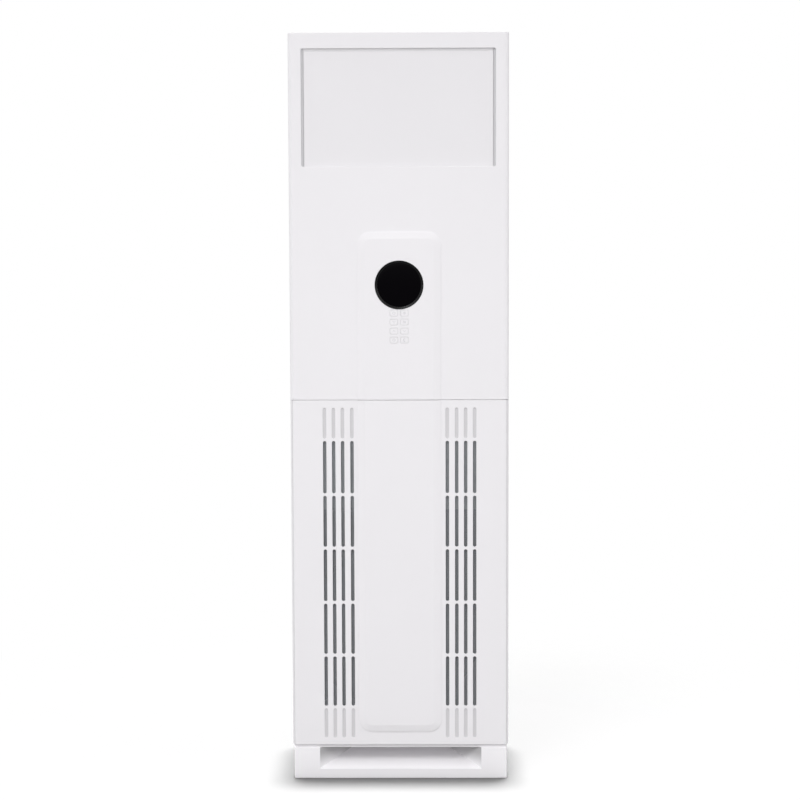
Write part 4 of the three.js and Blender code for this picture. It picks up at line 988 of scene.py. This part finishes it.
def buildScrews():
    for name, (y, facing, places) in screws.items():
        pattern = screwMesh()
        whole = bmesh.new()
        for i, (x, z) in enumerate(places):
            turn = Matrix.Rotation(math.radians(37 * i % 90), 4, "Y")
            if facing > 0:
                turn = Matrix.Rotation(math.pi, 4, "Z") @ turn
            part = pattern.copy()
            part.transform(Matrix.Translation(Vector((x, y, z)) * mm) @ turn)
            whole.from_mesh(part)
        mesh = bpy.data.meshes.new(name)
        whole.to_mesh(mesh)
        whole.free()
        addPiece(name, mesh, "screwSteel", "cabinet")


net = {"inner": 98, "outer": 191, "front": -150.7, "back": -144.7, "bottom": 165, "top": 815,
       "border": 6, "pitch": 2.4, "strand": 0.7}


def spaced(start, end, pitch):
    places = []
    while start < end:
        places.append(start)
        start += pitch
    return places


def netForm(left, right):  # upright strands in front of level ones
    n = net
    low, high = n["bottom"] + n["border"] - 1, n["top"] - n["border"] + 1
    middle, half = (n["front"] + n["back"]) / 2, n["strand"] / 2
    upright = [box(x - half, x + half, middle - 2 * half, middle, low, high)
               for x in spaced(left + 2, right - 1, n["pitch"])]
    level = [box(left, right, middle, middle + 2 * half, z - half, z + half)
             for z in spaced(low + 2, high - 1, n["pitch"])]
    return gathered(upright + level)


def buildFilters():
    n = net
    border, nearY, farY = n["border"], n["front"], n["back"]
    bars = [n["bottom"]] + [z - border / 2 for z in slots["ends"][1:-1]] + [n["top"] - border]
    for name, side in (("left", -1), ("right", 1)):
        x0, x1 = sorted((side * n["inner"], side * n["outer"]))
        plate = prism("Y", roundRect(x0, x1, n["bottom"], n["top"], 2, 3), softLayers(nearY, farY, 0.5))
        windows = gathered([
            prism("Y", roundRect(x0 + border, x1 - border, low + border, high, 2, 3),
                  [(nearY - 1, -0.4), (nearY + 0.4, 0), (farY - 0.4, 0), (farY + 1, -0.4)])
            for low, high in zip(bars[:-1], bars[1:])
        ])
        body, rack = f"{name}_filter", carved(plate, cuts=[windows])
        addPiece(f"{name}FilterFrame", rack, "netPlastic", body, [body])
        strands = netForm(x0 + border - 1, x1 - border + 1)
        addPiece(f"{name}FilterNet", strands, "netPlastic", body)


def buildFloor():
    floorMesh = bpy.data.meshes.new("studioFloor")
    size = studio["floorSize"]
    corners = [(-size, -size, 0), (size, -size, 0), (size, size, 0), (-size, size, 0)]
    floorMesh.from_pydata(corners, [], [(0, 1, 2, 3)])
    floor = bpy.data.objects.new("studioFloor", floorMesh)
    scene.collection.objects.link(floor)
    floorOnly = bpy.data.collections.new("floorOnly")
    floorOnly.objects.link(floor)
    paint = Paint("studioFloorPaint")
    grain = paint.noise(3, 2)
    base = paint.node("BsdfDiffuse", None, {"Color": paint.blend(
        grain, studio["floorColour"] + (1.0,), shaded(studio["floorColour"], 0.99))})
    lift = paint.node("Emission", None, {"Color": (1, 1, 1, 1), "Strength": studio["floorLift"]})
    lit = paint.node("AddShader", None, {0: base, 1: lift})
    plain = paint.node("Emission", None, {"Color": (1, 1, 1, 1), "Strength": 1.0})
    distance = paint.node("VectorMath", {"operation": "LENGTH"}, {0: paint.spot}, "Value")
    near, far = studio["floorFade"]
    fade = paint.node("MapRange", {"interpolation_type": "SMOOTHSTEP"},
                      {"Value": distance, "From Min": near, "From Max": far})
    shown = paint.node("MixShader", None, {0: fade, 1: lit, 2: plain})
    seen = paint.node("LightPath", output="Is Camera Ray")
    bounce = paint.node("BsdfDiffuse", None, {"Color": studio["floorBounce"] + (1.0,)})
    paint.close(paint.node("MixShader", None, {0: seen, 1: bounce, 2: shown}))
    floorMesh.materials.append(paint.owner)
    return floorOnly


def buildWorld():  # plain white to the eye and in reflections, dimmer as light
    paint = Paint("studioWorld", "worlds")
    scene.world = paint.owner
    light = paint.node("Background", None, {"Color": (1, 1, 1, 1), "Strength": studio["worldLevel"]})
    white = paint.node("Background", None, {"Color": (1, 1, 1, 1), "Strength": 1.0})
    eye, glossy, through = (
        paint.node("LightPath", output=f"Is {kind} Ray") for kind in ("Camera", "Glossy", "Transmission")
    )
    shown = paint.sum("MAXIMUM", paint.sum("MAXIMUM", eye, glossy), through)
    paint.close(paint.node("MixShader", None, {0: shown, 1: light, 2: white}), "World")


def addLamp(name, kind, place, forward, **settings):
    data = bpy.data.lights.new(name, kind)
    for key, value in settings.items():
        setattr(data, key, value)
    lamp = bpy.data.objects.new(name, data)
    scene.collection.objects.link(lamp)
    lamp.location = place
    lamp.rotation_mode = "QUATERNION"
    lamp.rotation_quaternion = forward.to_track_quat("-Z", "Y")
    lamp.visible_camera = False
    return lamp


def buildLamps(floorOnly):
    for name, (place, aim, width, height, watts) in studio["lamps"].items():
        addLamp(name, "AREA", place, Vector(aim) - Vector(place),
                shape="RECTANGLE", size=width, size_y=height, energy=watts)
    for name, (around, up, across, strength) in studio["suns"].items():
        turn, rise = math.radians(around), math.radians(up)
        toward = Vector((math.sin(turn) * math.cos(rise), -math.cos(turn) * math.cos(rise), math.sin(rise)))
        lamp = addLamp(name, "SUN", toward * studio["sunDistance"], -toward,
                       angle=math.radians(across), energy=strength)
        if name == "floorSun":
            lamp.light_linking.receiver_collection = floorOnly


nodePaints = {  # finishes of the CAD nodes that stay
    "greyPlastic": ["louver_link", "vane_link", "drain_hose", "scroll_casing", "blower_wheel"],
    # the rails' light grey is painted shade, seen in the door's side gaps
    "railPlastic": ["left_door_rail", "right_door_rail"],
    "bodyPlastic": ["base_pan", "left_pinion", "right_pinion"] + [f"louver_{i}" for i in range(1, 5)]
    + [f"vane_{i}" for i in range(1, 6)],
    "zincSteel": ["wall_bracket", "door_motor", "louver_motor", "vane_motor", "blower_motor", "door_shaft",
                  "blower_shaft", "left_chamber_wall", "right_chamber_wall", "chamber_cover", "deck",
                  "control_box", "control_box_cover"],
    "finAluminium": ["fin_pack"],
    "pipeCopper": ["coil_tubes", "gas_pipe", "liquid_pipe"],
    "linerFoam": ["outlet_duct", "drain_pan"],
    "boardGreen": ["control_board", "key_board"],
}


def dressNodes():
    for paint, names in nodePaints.items():
        for name in names:
            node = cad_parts[name]
            node.data.materials.clear()
            node.data.materials.append(paints[paint])


aimCamera()
buildWorld()
buildLamps(buildFloor())
print("studio ready")
buildUpperPanel()
buildIntakePanel()
print("front panels made")
buildDoor()
buildDisplay()
buildKeys()
buildPlinth()
buildSide("left", -1)
buildSide("right", 1)
buildRear()
buildGrommet()
buildCover()
buildScrews()
buildFilters()
print("casing and fittings made")
dressNodes()

scene.view_settings.view_transform = "Standard"
for mesh in [mesh for mesh in bpy.data.meshes if not mesh.users]:
    bpy.data.meshes.remove(mesh)
